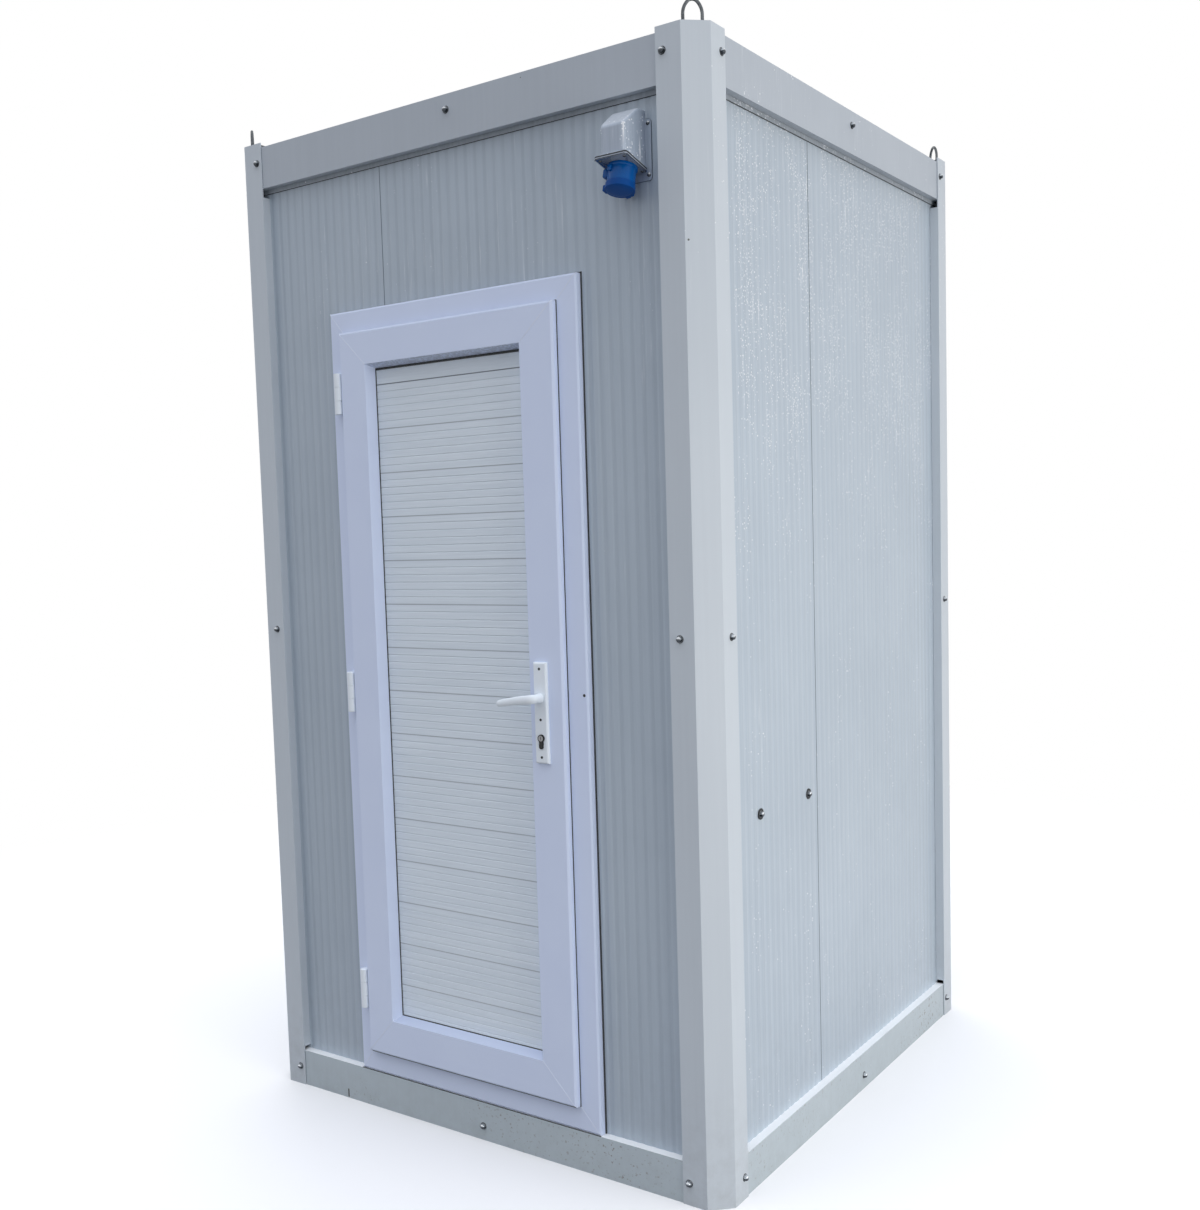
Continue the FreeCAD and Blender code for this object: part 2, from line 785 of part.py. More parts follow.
# Roof panel: foam core between sheets, with trapezoid ribs under the beams' top flanges
def roof_panel():
    side = web_inner_x - roof_gap
    end = web_inner_y - roof_gap
    diagonal = half_width + half_depth - post_corner - sheet * math.sqrt(2) - roof_corner_gap
    cut = side + end - diagonal
    outline = [(side - cut, -end), (side, -end + cut), (side, end - cut), (side - cut, end),
               (-side + cut, end), (-side, end - cut), (-side, -end + cut), (-side + cut, -end)]
    core_top = panel_top + roof_core
    panel = floor_prism(outline, (panel_top, core_top))
    crest = core_top + roof_rib_height
    for k in range(roof_rib_count):
        x = (k - (roof_rib_count - 1) / 2) * roof_rib_pitch
        profile = [(x - roof_rib_base / 2, core_top), (x + roof_rib_base / 2, core_top),
                   (x + roof_rib_crest / 2, crest), (x - roof_rib_crest / 2, crest)]
        panel = panel.fuse(front_prism(profile, (-end + cut, end - cut)))
    return panel


save("roof_panel", roof_panel())

# Latch, dead bolt and strike heights, shared by the lock and by the frame's keeps
latch_z = handle_height
dead_bolt_z = handle_height - dead_bolt_drop
keep_y = (frame_front, lock_y + latch_thickness / 2 + keep_margin)
latch_keep_z = (latch_z - latch_height / 2 - keep_margin, latch_z + latch_height / 2 + keep_margin)
dead_keep_z = (dead_bolt_z - dead_bolt_height / 2 - keep_margin,
               dead_bolt_z + dead_bolt_height / 2 + keep_margin)
dead_keep_y = (lock_y - dead_bolt_thickness / 2 - keep_margin, lock_y + dead_bolt_thickness / 2 + keep_margin)
latch_tip = body_right + latch_throw
latch_keep = box((opening_right - strike_thickness - past, latch_tip + latch_keep_depth), keep_y,
                 latch_keep_z)
dead_keep = box((opening_right - strike_thickness - past, body_right + dead_bolt_travel + keep_margin),
                dead_keep_y, dead_keep_z)


# Door frame: PVC profile with a rebate all round for the leaf and keeps for the lock
def door_frame():
    outer_x = (-frame_half_width, frame_half_width)
    outer_z = (panel_bottom, frame_top)
    solid = bevelled_block(outer_x, (frame_front, frame_back), outer_z, frame_bevel)
    hole_x = (opening_left, opening_right)
    hole_z = (opening_bottom, opening_top)
    solid = solid.cut(box(hole_x, (frame_front - past, stop_front), hole_z))
    mouth = [front_rectangle(hole_x, hole_z, frame_front, -frame_bevel),
             front_rectangle(hole_x, hole_z, frame_front + frame_bevel, 0)]
    solid = solid.cut(Part.makeLoft(mouth, True, True))
    stop_x = (opening_left + frame_stop, opening_right - frame_stop)
    stop_z = (opening_bottom + frame_stop, opening_top - frame_stop)
    solid = solid.cut(box(stop_x, (stop_front - past, frame_back + past), stop_z))
    return solid.cut([latch_keep, dead_keep])


save("door_frame", door_frame())
strike_y = (frame_front + frame_bevel, frame_front + strike_width)
strike_middle = (latch_z + dead_bolt_z) / 2
strike = box((opening_right - strike_thickness, opening_right), strike_y,
             (strike_middle - strike_height / 2, strike_middle + strike_height / 2))
save("strike_plate", strike.cut([latch_keep, dead_keep]))

# Holes through the leaf for the lock case, the spindle and the profile cylinder
case_left = body_right - forend_thickness - case_width
case_right = body_right - forend_thickness
case_low = handle_height - case_below
case_y = (lock_y - case_thickness / 2, lock_y + case_thickness / 2)
case_z = (case_low, case_low + case_height)
forend_y = (lock_y - forend_width / 2, lock_y + forend_width / 2)
forend_low = case_low + case_height / 2 - forend_height / 2
forend_z = (forend_low, forend_low + forend_height)


def cylinder_profile(gap, y):
    """The profile cylinder's keyhole section, drawn along Y and grown by gap."""
    foot_z = cylinder_z + cylinder_head - cylinder_height + cylinder_foot
    head = rod(Vec(lock_x, y[0], cylinder_z), Vec(lock_x, y[1], cylinder_z), cylinder_head + gap)
    foot = rod(Vec(lock_x, y[0], foot_z), Vec(lock_x, y[1], foot_z), cylinder_foot + gap)
    neck = box((lock_x - cylinder_foot - gap, lock_x + cylinder_foot + gap), y, (foot_z, cylinder_z))
    return head.fuse([foot, neck]).removeSplitter()


def grown(pair, gap):
    return (pair[0] - gap, pair[1] + gap)


through_leaf = (plate_front - past, inner_plate_back + past)
spindle_way = rod(Vec(lock_x, through_leaf[0], handle_height), Vec(lock_x, through_leaf[1], handle_height),
                  spindle_hole)
cylinder_way = cylinder_profile(cylinder_hole_gap, through_leaf)
case_pocket = box((case_left - case_gap, body_right), grown(case_y, case_gap), grown(case_z, case_gap))
forend_pocket = box((case_right, body_right + past), grown(forend_y, case_gap), grown(forend_z, case_gap))


# Door leaf: PVC profile with an overlap on the frame and a sloped inner edge round the infill
def door_sash():
    body = box((body_left, body_right), (leaf_front + leaf_bevel, leaf_back), (body_bottom, body_top))
    overlap = bevelled_block((leaf_left, leaf_right), (leaf_front, flange_back),
                             (leaf_bottom, leaf_top), leaf_bevel)
    light_x = (light_left, light_right)
    light_z = (light_bottom, light_top)
    slope = [front_rectangle(light_x, light_z, leaf_front, 0),
             front_rectangle(light_x, light_z, infill_front, glazing_slope)]
    seat = glazing_slope - glazing_rebate
    rebate = box((light_left + seat, light_right - seat), (infill_front, leaf_back + past),
                 (light_bottom + seat, light_top - seat))
    solid = body.fuse(overlap).removeSplitter().cut([Part.makeLoft(slope, True, True), rebate])
    return solid.cut([case_pocket, forend_pocket, spindle_way, cylinder_way])


save("door_sash", door_sash())

# Infill: grooved boards laid flat on each other, held by beads on the room side
infill_seat = glazing_slope - glazing_rebate + infill_edge_gap
infill_x = (light_left + infill_seat, light_right - infill_seat)
infill_z = (light_bottom + infill_seat, light_top - infill_seat)
board_first_joint = light_top - board_top_strip


def board(low, high, first_groove):
    """One board between two heights, with fine grooves across its front from the first groove up."""
    spacing = board_pitch / board_groove_count
    points = [(infill_back, low), (infill_front, low)]
    groove = first_groove
    while groove < high - board_groove_width:
        if groove > low + board_groove_width:
            points.append((infill_front, groove - board_groove_width / 2))
            points.append((infill_front + board_groove_depth, groove))
            points.append((infill_front, groove + board_groove_width / 2))
        groove += spacing
    points.append((infill_front, high))
    points.append((infill_back, high))
    return side_prism(points, infill_x)


def infill_boards():
    spacing = board_pitch / board_groove_count
    plain = infill_z[1]
    boards = [board(board_first_joint + board_joint_gap / 2, infill_z[1], plain)]
    joint = board_first_joint
    while joint - board_pitch > infill_z[0]:
        low = joint - board_pitch
        boards.append(board(low + board_joint_gap / 2, joint - board_joint_gap / 2, low + spacing))
        joint = low
    if joint - infill_z[0] > spacing:
        boards.append(board(infill_z[0], joint - board_joint_gap / 2, joint - board_pitch + spacing))
    return boards


save("door_infill", *infill_boards())
bead_outer = glazing_slope - glazing_rebate
bead_y = (infill_back, leaf_back)
bead_ring = box((light_left + bead_outer, light_right - bead_outer), bead_y,
                (light_bottom + bead_outer, light_top - bead_outer))
bead_inner = bead_outer + bead_width
bead_hole = box((light_left + bead_inner, light_right - bead_inner), (bead_y[0] - past, bead_y[1] + past),
                (light_bottom + bead_inner, light_top - bead_inner))
save("infill_beads", bead_ring.cut(bead_hole))

# Hinges: two knuckles on the frame, one on the leaf, and a fixed pin through all three
knuckle = hinge_length / 3
hinge_heights = [hinge_low_height, hinge_middle_height, hinge_high_height]


def knuckle_at(low, high, bore):
    bar = rod(Vec(hinge_x, hinge_y, low), Vec(hinge_x, hinge_y, high), hinge_radius)
    hole = rod(Vec(hinge_x, hinge_y, low - past), Vec(hinge_x, hinge_y, high + past), bore)
    return bar, hole


def frame_knuckle(low, high):
    bar, hole = knuckle_at(low, high, hinge_pin_radius)
    foot = box((hinge_x - hinge_arm_width / 2, hinge_x + hinge_arm_width / 2), (hinge_y, frame_front),
               (low, high))
    return bar.fuse(foot).cut(hole)


def leaf_knuckle(low, high):
    bar, hole = knuckle_at(low, high, hinge_pin_radius + hinge_pin_gap)
    arm_front = leaf_front + hinge_arm_setback
    arm = box((hinge_x, leaf_left), (arm_front, arm_front + hinge_arm_depth), (low, high))
    return bar.fuse(arm).cut(hole)


frame_knuckles = []
leaf_knuckles = []
hinge_pins = []
for middle in hinge_heights:
    low = middle - hinge_length / 2
    high = middle + hinge_length / 2
    frame_knuckles.append(frame_knuckle(low, low + knuckle - hinge_knuckle_gap))
    frame_knuckles.append(frame_knuckle(high - knuckle + hinge_knuckle_gap, high))
    leaf_knuckles.append(leaf_knuckle(low + knuckle, high - knuckle))
    hinge_pins.append(rod(Vec(hinge_x, hinge_y, low), Vec(hinge_x, hinge_y, high), hinge_pin_radius))
save("hinge_frame_leaves", *frame_knuckles)
save("hinge_door_leaves", *leaf_knuckles)
save("hinge_pins", *hinge_pins)

# Long handle plates on both faces of the leaf
plate_x = (lock_x - plate_width / 2, lock_x + plate_width / 2)
plate_z = (handle_height - plate_bottom_below, handle_height + plate_top_above)
hub_way = rod(Vec(lock_x, through_leaf[0], handle_height), Vec(lock_x, through_leaf[1], handle_height),
              hub_radius + hub_gap)
outer_plate = bevelled_block(plate_x, (plate_front, leaf_front), plate_z, plate_bevel)
inner_plate = bevelled_block(plate_x, (leaf_back, inner_plate_back), plate_z, plate_bevel, near=False)
save("outer_handle_plate", outer_plate.cut([hub_way, cylinder_way]))
save("inner_handle_plate", inner_plate.cut([hub_way, cylinder_way]))


# Levers: a hub in the plate, a conical root and a flat rounded bar; the outer one has the square spindle
def lever(face, outward):
    """A lever on the face at depth face; outward is -1 for the street side and 1 for the room side."""
    def along(distance):
        return Vec(lock_x, face + outward * distance, handle_height)

    hub = rod(along(-plate_thickness), along(lever_standoff), hub_radius)
    root = Part.makeCone(hub_foot_radius, hub_radius, lever_standoff - lever_root_start,
                         along(lever_root_start),
                         Y_AXIS * outward)
    bar_near = lever_standoff
    bar_far = lever_standoff + lever_thickness
    tip_x = lock_x - lever_reach + lever_tip
    tip_z = handle_height - lever_tip_drop
    bar_root = rod(along(bar_near), along(bar_far), lever_root)
    tip_start = Vec(tip_x, along(bar_near).y, tip_z)
    bar_end = rod(tip_start, Vec(tip_x, along(bar_far).y, tip_z), lever_tip)
    run = Vec(tip_x - lock_x, 0, tip_z - handle_height)
    across = Vec(-run.z, 0, run.x).normalize()
    corners = [along(bar_near) + across * lever_root, tip_start + across * lever_tip,
               tip_start - across * lever_tip, along(bar_near) - across * lever_root]
    wire = Part.makePolygon(corners + corners[:1])
    blade = Part.Face(wire).extrude(Y_AXIS * outward * lever_thickness)
    return hub.fuse([root, bar_root, bar_end, blade]).removeSplitter()


outer_lever = lever(plate_front, -1)
inner_lever = lever(inner_plate_back, 1)
half_spindle = spindle / 2
spindle_end = inner_plate_back + lever_standoff / 2
spindle_bar = box((lock_x - half_spindle, lock_x + half_spindle), (plate_front, spindle_end),
                  (handle_height - half_spindle, handle_height + half_spindle))
save("outer_lever", outer_lever.fuse(spindle_bar))
save("inner_lever", inner_lever.cut(spindle_bar))


# Lock: steel case with its forend, spring latch, dead bolt, profile cylinder with plugs and cam
def bolt_block(length, height, thickness, gap, low_x, z):
    return box((low_x, low_x + length), (lock_y - thickness / 2 - gap, lock_y + thickness / 2 + gap),
               (z - height / 2 - gap, z + height / 2 + gap))


def lock_case():
    case = box((case_left, case_right), case_y, case_z)
    cavity = box((case_left + case_wall, case_right), grown(case_y, -case_wall), grown(case_z, -case_wall))
    forend = box((case_right, body_right), forend_y, forend_z)
    solid = case.cut(cavity).fuse(forend)
    latch_way = bolt_block(3 * forend_thickness, latch_height, latch_thickness, bolt_guide_gap,
                           case_right - forend_thickness, latch_z)
    dead_way = bolt_block(3 * forend_thickness, dead_bolt_height, dead_bolt_thickness, bolt_guide_gap,
                          case_right - forend_thickness, dead_bolt_z)
    return solid.cut([latch_way, dead_way, spindle_way, cylinder_way])


save("lock_case", lock_case())
latch = bolt_block(latch_body + latch_throw, latch_height, latch_thickness, 0,
                   latch_tip - latch_body - latch_throw,
                   latch_z)
slant = [(latch_tip + past - latch_thickness, lock_y + latch_thickness / 2 + past),
         (latch_tip + past, lock_y - latch_nose),
         (latch_tip + past, lock_y + latch_thickness / 2 + past)]
save("latch_bolt", latch.cut(floor_prism(slant, (latch_z - latch_height, latch_z + latch_height))))
save("dead_bolt", bolt_block(dead_bolt_length, dead_bolt_height, dead_bolt_thickness, 0,
                             body_right - dead_bolt_length, dead_bolt_z))
cylinder_y = (plate_front - cylinder_proud, inner_plate_back + cylinder_proud)
plug_way = rod(Vec(lock_x, cylinder_y[0] - past, cylinder_z),
               Vec(lock_x, cylinder_y[1] + past, cylinder_z), plug_radius)
cam_room = rod(Vec(lock_x, lock_y - cam_thickness / 2 - cam_gap, cylinder_z),
               Vec(lock_x, lock_y + cam_thickness / 2 + cam_gap, cylinder_z), cam_radius + cam_gap)
save("lock_cylinder", cylinder_profile(0, cylinder_y).cut([plug_way, cam_room]))
plug = rod(Vec(lock_x, cylinder_y[0], cylinder_z), Vec(lock_x, cylinder_y[1], cylinder_z),
           plug_radius - plug_gap)
cam = box((lock_x - cam_width / 2, lock_x + cam_width / 2),
          (lock_y - cam_thickness / 2, lock_y + cam_thickness / 2),
          (cylinder_z - cam_radius + cam_tip_gap, cylinder_z))
key_x = (lock_x - key_slot_width / 2, lock_x + key_slot_width / 2)
key_z = (cylinder_z - key_slot_height / 2, cylinder_z + key_slot_height / 2)
key_slots = [box(key_x, (cylinder_y[0] - past, cylinder_y[0] + key_slot_depth), key_z),
             box(key_x, (cylinder_y[1] - key_slot_depth, cylinder_y[1] + past), key_z)]
save("cylinder_plugs", plug.fuse(cam).cut(key_slots))

# Supply housing: a hollow hood over the cable hole, with a sloped lip for the inlet
tilt = math.radians(inlet_tilt)
housing_front = -wall_y - housing_depth
housing_x = (housing_centre_x - housing_width / 2, housing_centre_x + housing_width / 2)


def lip_height(y):
    return housing_lip_height - (y - housing_front) * math.tan(tilt)


def hood_plan(inset):
    """The hood from above: its sides draw in towards the street and its front corners are round."""
    x = grown(housing_x, -inset)
    front = housing_front + inset
    back = -wall_y + past
    outline = [(x[0], back), (x[0] + housing_draft, front), (x[1] - housing_draft, front), (x[1], back)]
    block = floor_prism(outline, (housing_plate_low, housing_top + past))
    corners = [edge for edge in block.Edges
               if edge.BoundBox.ZLength > past and edge.BoundBox.YMax < -wall_y - housing_top_depth]
    return block.makeFillet(housing_corner - inset, corners)


def supply_housing():
    shell = [(-wall_y, lip_height(-wall_y)), (housing_front, housing_lip_height),
             (housing_front, housing_shoulder),
             (-wall_y - housing_top_depth, housing_top), (-wall_y, housing_top)]
    lift = housing_wall / math.cos(tilt)
    front = housing_front + housing_wall
    room = [(-wall_y + past, lip_height(-wall_y + past) + lift), (front, lip_height(front) + lift),
            (front, housing_shoulder - housing_wall),
            (-wall_y - housing_top_depth, housing_top - housing_wall),
            (-wall_y + past, housing_top - housing_wall)]
    hood = side_prism(shell, housing_x).common(hood_plan(0))
    half_plate = housing_plate_width / 2
    plate = bevelled_block((housing_centre_x - half_plate, housing_centre_x + half_plate),
                           (-wall_y - housing_plate_thickness, -wall_y),
                           (housing_plate_low, housing_plate_high),
                           housing_plate_bevel)
    hollow = side_prism(room, grown(housing_x, -housing_wall)).common(hood_plan(housing_wall))
    return hood.fuse(plate).cut(hollow)


# The inlet is drawn upright at the origin, mouth down, then tilted onto the lip
inlet_y = (housing_front - wall_y) / 2 + inlet_shift
inlet_place = FreeCAD.Placement(Vec(housing_centre_x, inlet_y, lip_height(inlet_y)),
                                FreeCAD.Rotation(X_AXIS, -inlet_tilt))


def on_lip(shape):
    moved = shape.copy()
    moved.Placement = inlet_place.multiply(moved.Placement)
    return moved


mouth_z = -inlet_length
wiring_way = rod(Vec(0, 0, -past), Vec(0, 0, housing_wall * 3), inlet_radius - inlet_wall - inlet_floor)
save("inlet_housing", supply_housing().cut(on_lip(wiring_way)))
inlet_floor_z = -inlet_flange - inlet_floor
inlet_flange_block = box((-inlet_flange_half, inlet_flange_half), (-inlet_flange_front, inlet_flange_back),
                         (-inlet_flange, 0))
inlet_tube = rod(Vec(0, 0, mouth_z), Vec(0, 0, -inlet_flange), inlet_radius)
inlet_bore = rod(Vec(0, 0, mouth_z - past), Vec(0, 0, inlet_floor_z), inlet_radius - inlet_wall)
ear_top = mouth_z + 2 * cap_knuckle_radius
ear_from = cap_knuckle_half + cap_ear_gap


def inlet_ear(side):
    """A lug beside the tube that holds one end of the cap's pin."""
    x = sorted((side * ear_from, side * (ear_from + cap_ear)))
    block = box(x, (0, cap_hinge_reach + cap_knuckle_radius), (mouth_z, ear_top))
    ring = rod(Vec(x[0], cap_hinge_reach, mouth_z), Vec(x[1], cap_hinge_reach, mouth_z), cap_knuckle_radius)
    return block.fuse(ring).cut(rod(Vec(0, 0, mouth_z - past), Vec(0, 0, ear_top + past),
                                    inlet_radius - inlet_wall / 2))


cap_pin = rod(Vec(-ear_from - cap_ear, cap_hinge_reach, mouth_z),
              Vec(ear_from + cap_ear, cap_hinge_reach, mouth_z),
              cap_pin_radius)
ears = [inlet_ear(-1), inlet_ear(1)]
inlet = inlet_flange_block.fuse([inlet_tube] + ears + [cap_pin]).cut(inlet_bore)
save("inlet_socket", on_lip(inlet))
contact_pins = []
for k in range(pin_count):
    angle = math.radians(90 + k * 360.0 / pin_count)
    centre = Vec(pin_circle * math.cos(angle), pin_circle * math.sin(angle), inlet_floor_z)
    contact_pins.append(on_lip(rod(centre, centre - Z_AXIS * pin_length, pin_radius)))
save("inlet_pins", *contact_pins)


def inlet_cap():
    disc_top = mouth_z - cap_gap
    disc = rod(Vec(0, 0, disc_top - cap_thickness), Vec(0, 0, disc_top), cap_radius)
    skirt = rod(Vec(0, 0, disc_top), Vec(0, 0, disc_top + cap_skirt), cap_radius)
    skirt = skirt.cut(rod(Vec(0, 0, disc_top - past), Vec(0, 0, disc_top + cap_skirt + past),
                          inlet_radius + cap_gap))
    skirt = skirt.cut(box((-cap_radius, cap_radius), (cap_radius / 3, cap_radius + past),
                          (mouth_z - past, 0)))
    flat_y = cap_hinge_reach - cap_knuckle_radius - cap_turn_gap
    disc = disc.cut(box((-cap_radius, cap_radius), (flat_y, cap_radius + past),
                        (disc_top - cap_thickness - past, 0)))
    arm = box((-cap_knuckle_half, cap_knuckle_half), (0, cap_hinge_reach),
              (disc_top - cap_thickness, disc_top))
    knuckle_bar = rod(Vec(-cap_knuckle_half, cap_hinge_reach, mouth_z),
                      Vec(cap_knuckle_half, cap_hinge_reach, mouth_z), cap_knuckle_radius)
    bore = rod(Vec(-cap_knuckle_half - past, cap_hinge_reach, mouth_z),
               Vec(cap_knuckle_half + past, cap_hinge_reach, mouth_z), cap_pin_radius + plug_gap)
    nub = box((-cap_radius - cap_nub_reach, -cap_radius + cap_nub_reach), (-cap_nub_front, cap_nub_back),
              (disc_top - cap_thickness + cap_nub_step, disc_top + cap_skirt))
    nub = nub.cut(rod(Vec(0, 0, mouth_z - cap_radius), ORIGIN, inlet_radius + cap_gap))
    return disc.fuse([skirt, arm, knuckle_bar, nub]).cut(bore)


save("inlet_cap", on_lip(inlet_cap()))

# Toilet pan: foot, waist and rim in one casting, with a shelf behind for the cistern
pan_front = room_y - pan_length
rim_centre = pan_front + pan_rim_length / 2
foot_centre = rim_centre + pan_foot_back
waist_z = floor_top + pan_waist_rise


def toilet_pan():
    body = Part.makeLoft([oval(0, foot_centre, pan_foot_width, pan_foot_length, floor_top),
                          oval(0, foot_centre, pan_waist_width, pan_waist_length, waist_z),
                          oval(0, rim_centre, pan_width, pan_rim_length, rim_z - pan_rim_band)], True)
    rim = Part.makeLoft([oval(0, rim_centre, pan_width, pan_rim_length, rim_z - pan_rim_band),
                         oval(0, rim_centre, pan_width, pan_rim_length, rim_z)], True, True)
    shelf = box((-pan_shelf_width / 2, pan_shelf_width / 2), (rim_centre + pan_shelf_start, room_y),
                (floor_top, rim_z))
    bowl = Part.makeLoft([oval(0, rim_centre, pan_bowl_width, pan_bowl_length, rim_z + past),
                          oval(0, rim_centre, pan_neck_width, pan_neck_length, rim_z - pan_neck_drop),
                          oval(0, rim_centre, pan_sump_width, pan_sump_length, rim_z - pan_bowl_depth)], True)
    return body.fuse([rim, shelf]).cut(bowl)


cistern_front = room_y - cistern_depth
cistern_top = rim_z + cistern_height
cistern_x = (-cistern_width / 2, cistern_width / 2)
flush_y = (cistern_front + room_y) / 2


def toilet_cistern():
    block = box(cistern_x, (cistern_front, room_y), (rim_z, cistern_top))
    front_edges = [edge for edge in block.Edges
                   if edge.BoundBox.YMax < cistern_front + past and edge.BoundBox.ZLength > 1]
    solid = block.makeFillet(cistern_edge, front_edges)
    tank = box(grown(cistern_x, -cistern_wall - cistern_edge / 2),
               (cistern_front + cistern_wall, room_y - cistern_wall),
               (rim_z + cistern_wall, cistern_top - 2 * cistern_wall))
    button_way = rod(Vec(0, flush_y, cistern_top - 3 * cistern_wall),
                     Vec(0, flush_y, cistern_top + past), flush_radius)
    return solid.cut([tank, button_way])


save("cistern", toilet_cistern())
button_low = cistern_top + flush_proud - flush_height
save("flush_button", rod(Vec(0, flush_y, button_low), Vec(0, flush_y, cistern_top + flush_proud),
                         flush_radius - flush_gap))


# Seat and lid: both hinge on the pins of two posts behind the rim; the lid stands open
def hinge_post(side):
    x = sorted((side * seat_post_x, side * (seat_post_x + seat_post_width)))
    base = box(x, (seat_axis_y - seat_post_depth / 2, seat_axis_y + seat_post_depth / 2),
               (rim_z, rim_z + seat_post_height))
    pin = rod(Vec(x[0] - seat_pin_length, seat_axis_y, seat_axis_z),
              Vec(x[1] + seat_pin_length, seat_axis_y, seat_axis_z), seat_pin_radius)
    return base.fuse(pin)


save("toilet_pan", toilet_pan(), hinge_post(-1), hinge_post(1))


def seat_lug(x, reach, drop, rise):
    """A lug round a hinge pin, reaching forward to the ring or lid."""
    ring = rod(Vec(x[0], seat_axis_y, seat_axis_z), Vec(x[1], seat_axis_y, seat_axis_z), seat_lug_radius)
    tab = box(x, (seat_axis_y - reach, seat_axis_y), (seat_axis_z + drop, seat_axis_z + rise))
    bore = rod(Vec(x[0] - past, seat_axis_y, seat_axis_z), Vec(x[1] + past, seat_axis_y, seat_axis_z),
               seat_pin_radius + plug_gap)
    return ring.fuse(tab), bore


seat_front = pan_front
seat_back = seat_axis_y - seat_post_depth / 2 - seat_post_clearance
seat_centre = (seat_front + seat_back) / 2
seat_length = seat_back - seat_front
seat_low = rim_z + seat_gap


def toilet_seat():
    plate = Part.makeLoft([oval(0, seat_centre, pan_width, seat_length, seat_low),
                           oval(0, seat_centre, pan_width - seat_taper, seat_length - seat_taper,
                                seat_low + seat_thickness)],
                          True, True)
    hole = Part.makeLoft([oval(0, seat_centre, pan_width - 2 * seat_rim, seat_length - 2 * seat_rim,
                               seat_low - past),
                          oval(0, seat_centre, pan_width - 2 * seat_rim + seat_taper,
                               seat_length - 2 * seat_rim + seat_taper,
                               seat_low + seat_thickness + past)], True, True)
    solid = plate
    bores = [hole]
    for side in (-1, 1):
        x = sorted((side * (seat_post_x - seat_pin_length), side * (seat_post_x - seat_lug_gap)))
        lug, bore = seat_lug(x, seat_lug_reach, -seat_thickness + seat_gap + seat_lug_lift, 0)
        solid = solid.fuse(lug)
        bores.append(bore)
    return solid.cut(bores)


def toilet_lid():
    low = seat_low + seat_thickness + lid_gap
    plate = Part.makeLoft([oval(0, seat_centre, pan_width, seat_length, low),
                           oval(0, seat_centre, pan_width - lid_taper, seat_length - lid_taper,
                                low + lid_thickness)],
                          True, True)
    solid = plate
    bores = []
    for side in (-1, 1):
        outer = seat_post_x + seat_post_width
        x = sorted((side * (outer + seat_lug_gap), side * (outer + seat_pin_length)))
        lug, bore = seat_lug(x, lid_lug_reach, low - seat_axis_z, low + lid_thickness / 2 - seat_axis_z)
        solid = solid.fuse(lug)
        bores.append(bore)
    solid = solid.cut(bores)
    solid.rotate(Vec(0, seat_axis_y, seat_axis_z), X_AXIS, -lid_open_angle)
    return solid


save("toilet_seat", toilet_seat())
save("toilet_lid", toilet_lid())


# Wash basin on the right wall: ceramic, with a ledge for the tap and two bolts through the wall
basin_y = (basin_centre_y - basin_width / 2, basin_centre_y + basin_width / 2)
basin_front = room_x - basin_depth
bowl_x = (basin_front + basin_rim, room_x - basin_ledge)
bowl_y = grown(basin_y, -basin_rim)
bowl_middle = (bowl_x[0] + bowl_x[1]) / 2
bowl_bottom = basin_height - bowl_depth


def wash_basin():
    foot_y = (basin_centre_y - basin_foot_width / 2, basin_centre_y + basin_foot_width / 2)
    foot = Part.makePolygon([Vec(room_x, foot_y[0], basin_bottom), Vec(room_x - basin_foot_depth, foot_y[0],
                             basin_bottom), Vec(room_x - basin_foot_depth, foot_y[1], basin_bottom),
                             Vec(room_x, foot_y[1], basin_bottom), Vec(room_x, foot_y[0], basin_bottom)])
    shoulder_z = basin_height - basin_corner
    shoulder = Part.makePolygon([Vec(room_x, basin_y[0], shoulder_z),
                                 Vec(basin_front, basin_y[0], shoulder_z),
                                 Vec(basin_front, basin_y[1], shoulder_z),
                                 Vec(room_x, basin_y[1], shoulder_z),
                                 Vec(room_x, basin_y[0], shoulder_z)])
    upper = box((basin_front, room_x), basin_y, (shoulder_z, basin_height))
    solid = Part.makeLoft([foot, shoulder], True, True).fuse(upper).removeSplitter()
    bowl_foot_x = (bowl_middle - bowl_foot_depth / 2, bowl_middle + bowl_foot_depth / 2)
    bowl_foot_y = (basin_centre_y - bowl_foot_width / 2, basin_centre_y + bowl_foot_width / 2)
    bowl = Part.makeLoft([rounded_rectangle(bowl_foot_x, bowl_foot_y, basin_corner, bowl_bottom),
                          rounded_rectangle(bowl_x, bowl_y, basin_corner, basin_height + past)], True, True)
    drain = rod(Vec(bowl_middle, basin_centre_y, basin_bottom - past),
                Vec(bowl_middle, basin_centre_y, bowl_bottom + past), waste_radius)
    return solid.cut([bowl, drain, basin_bolt_holes])


save("wash_basin", wash_basin())
basin_bolt_shape = bolt(-wall_x, -basin_bolt_end, False)
basin_bolts = []
for y in basin_bolt_places:
    moved = basin_bolt_shape.copy()
    moved.rotate(ORIGIN, Z_AXIS, 90)
    moved.translate(Vec(0, y, basin_bolt_height))
    basin_bolts.append(moved)
save("basin_bolts", *basin_bolts)


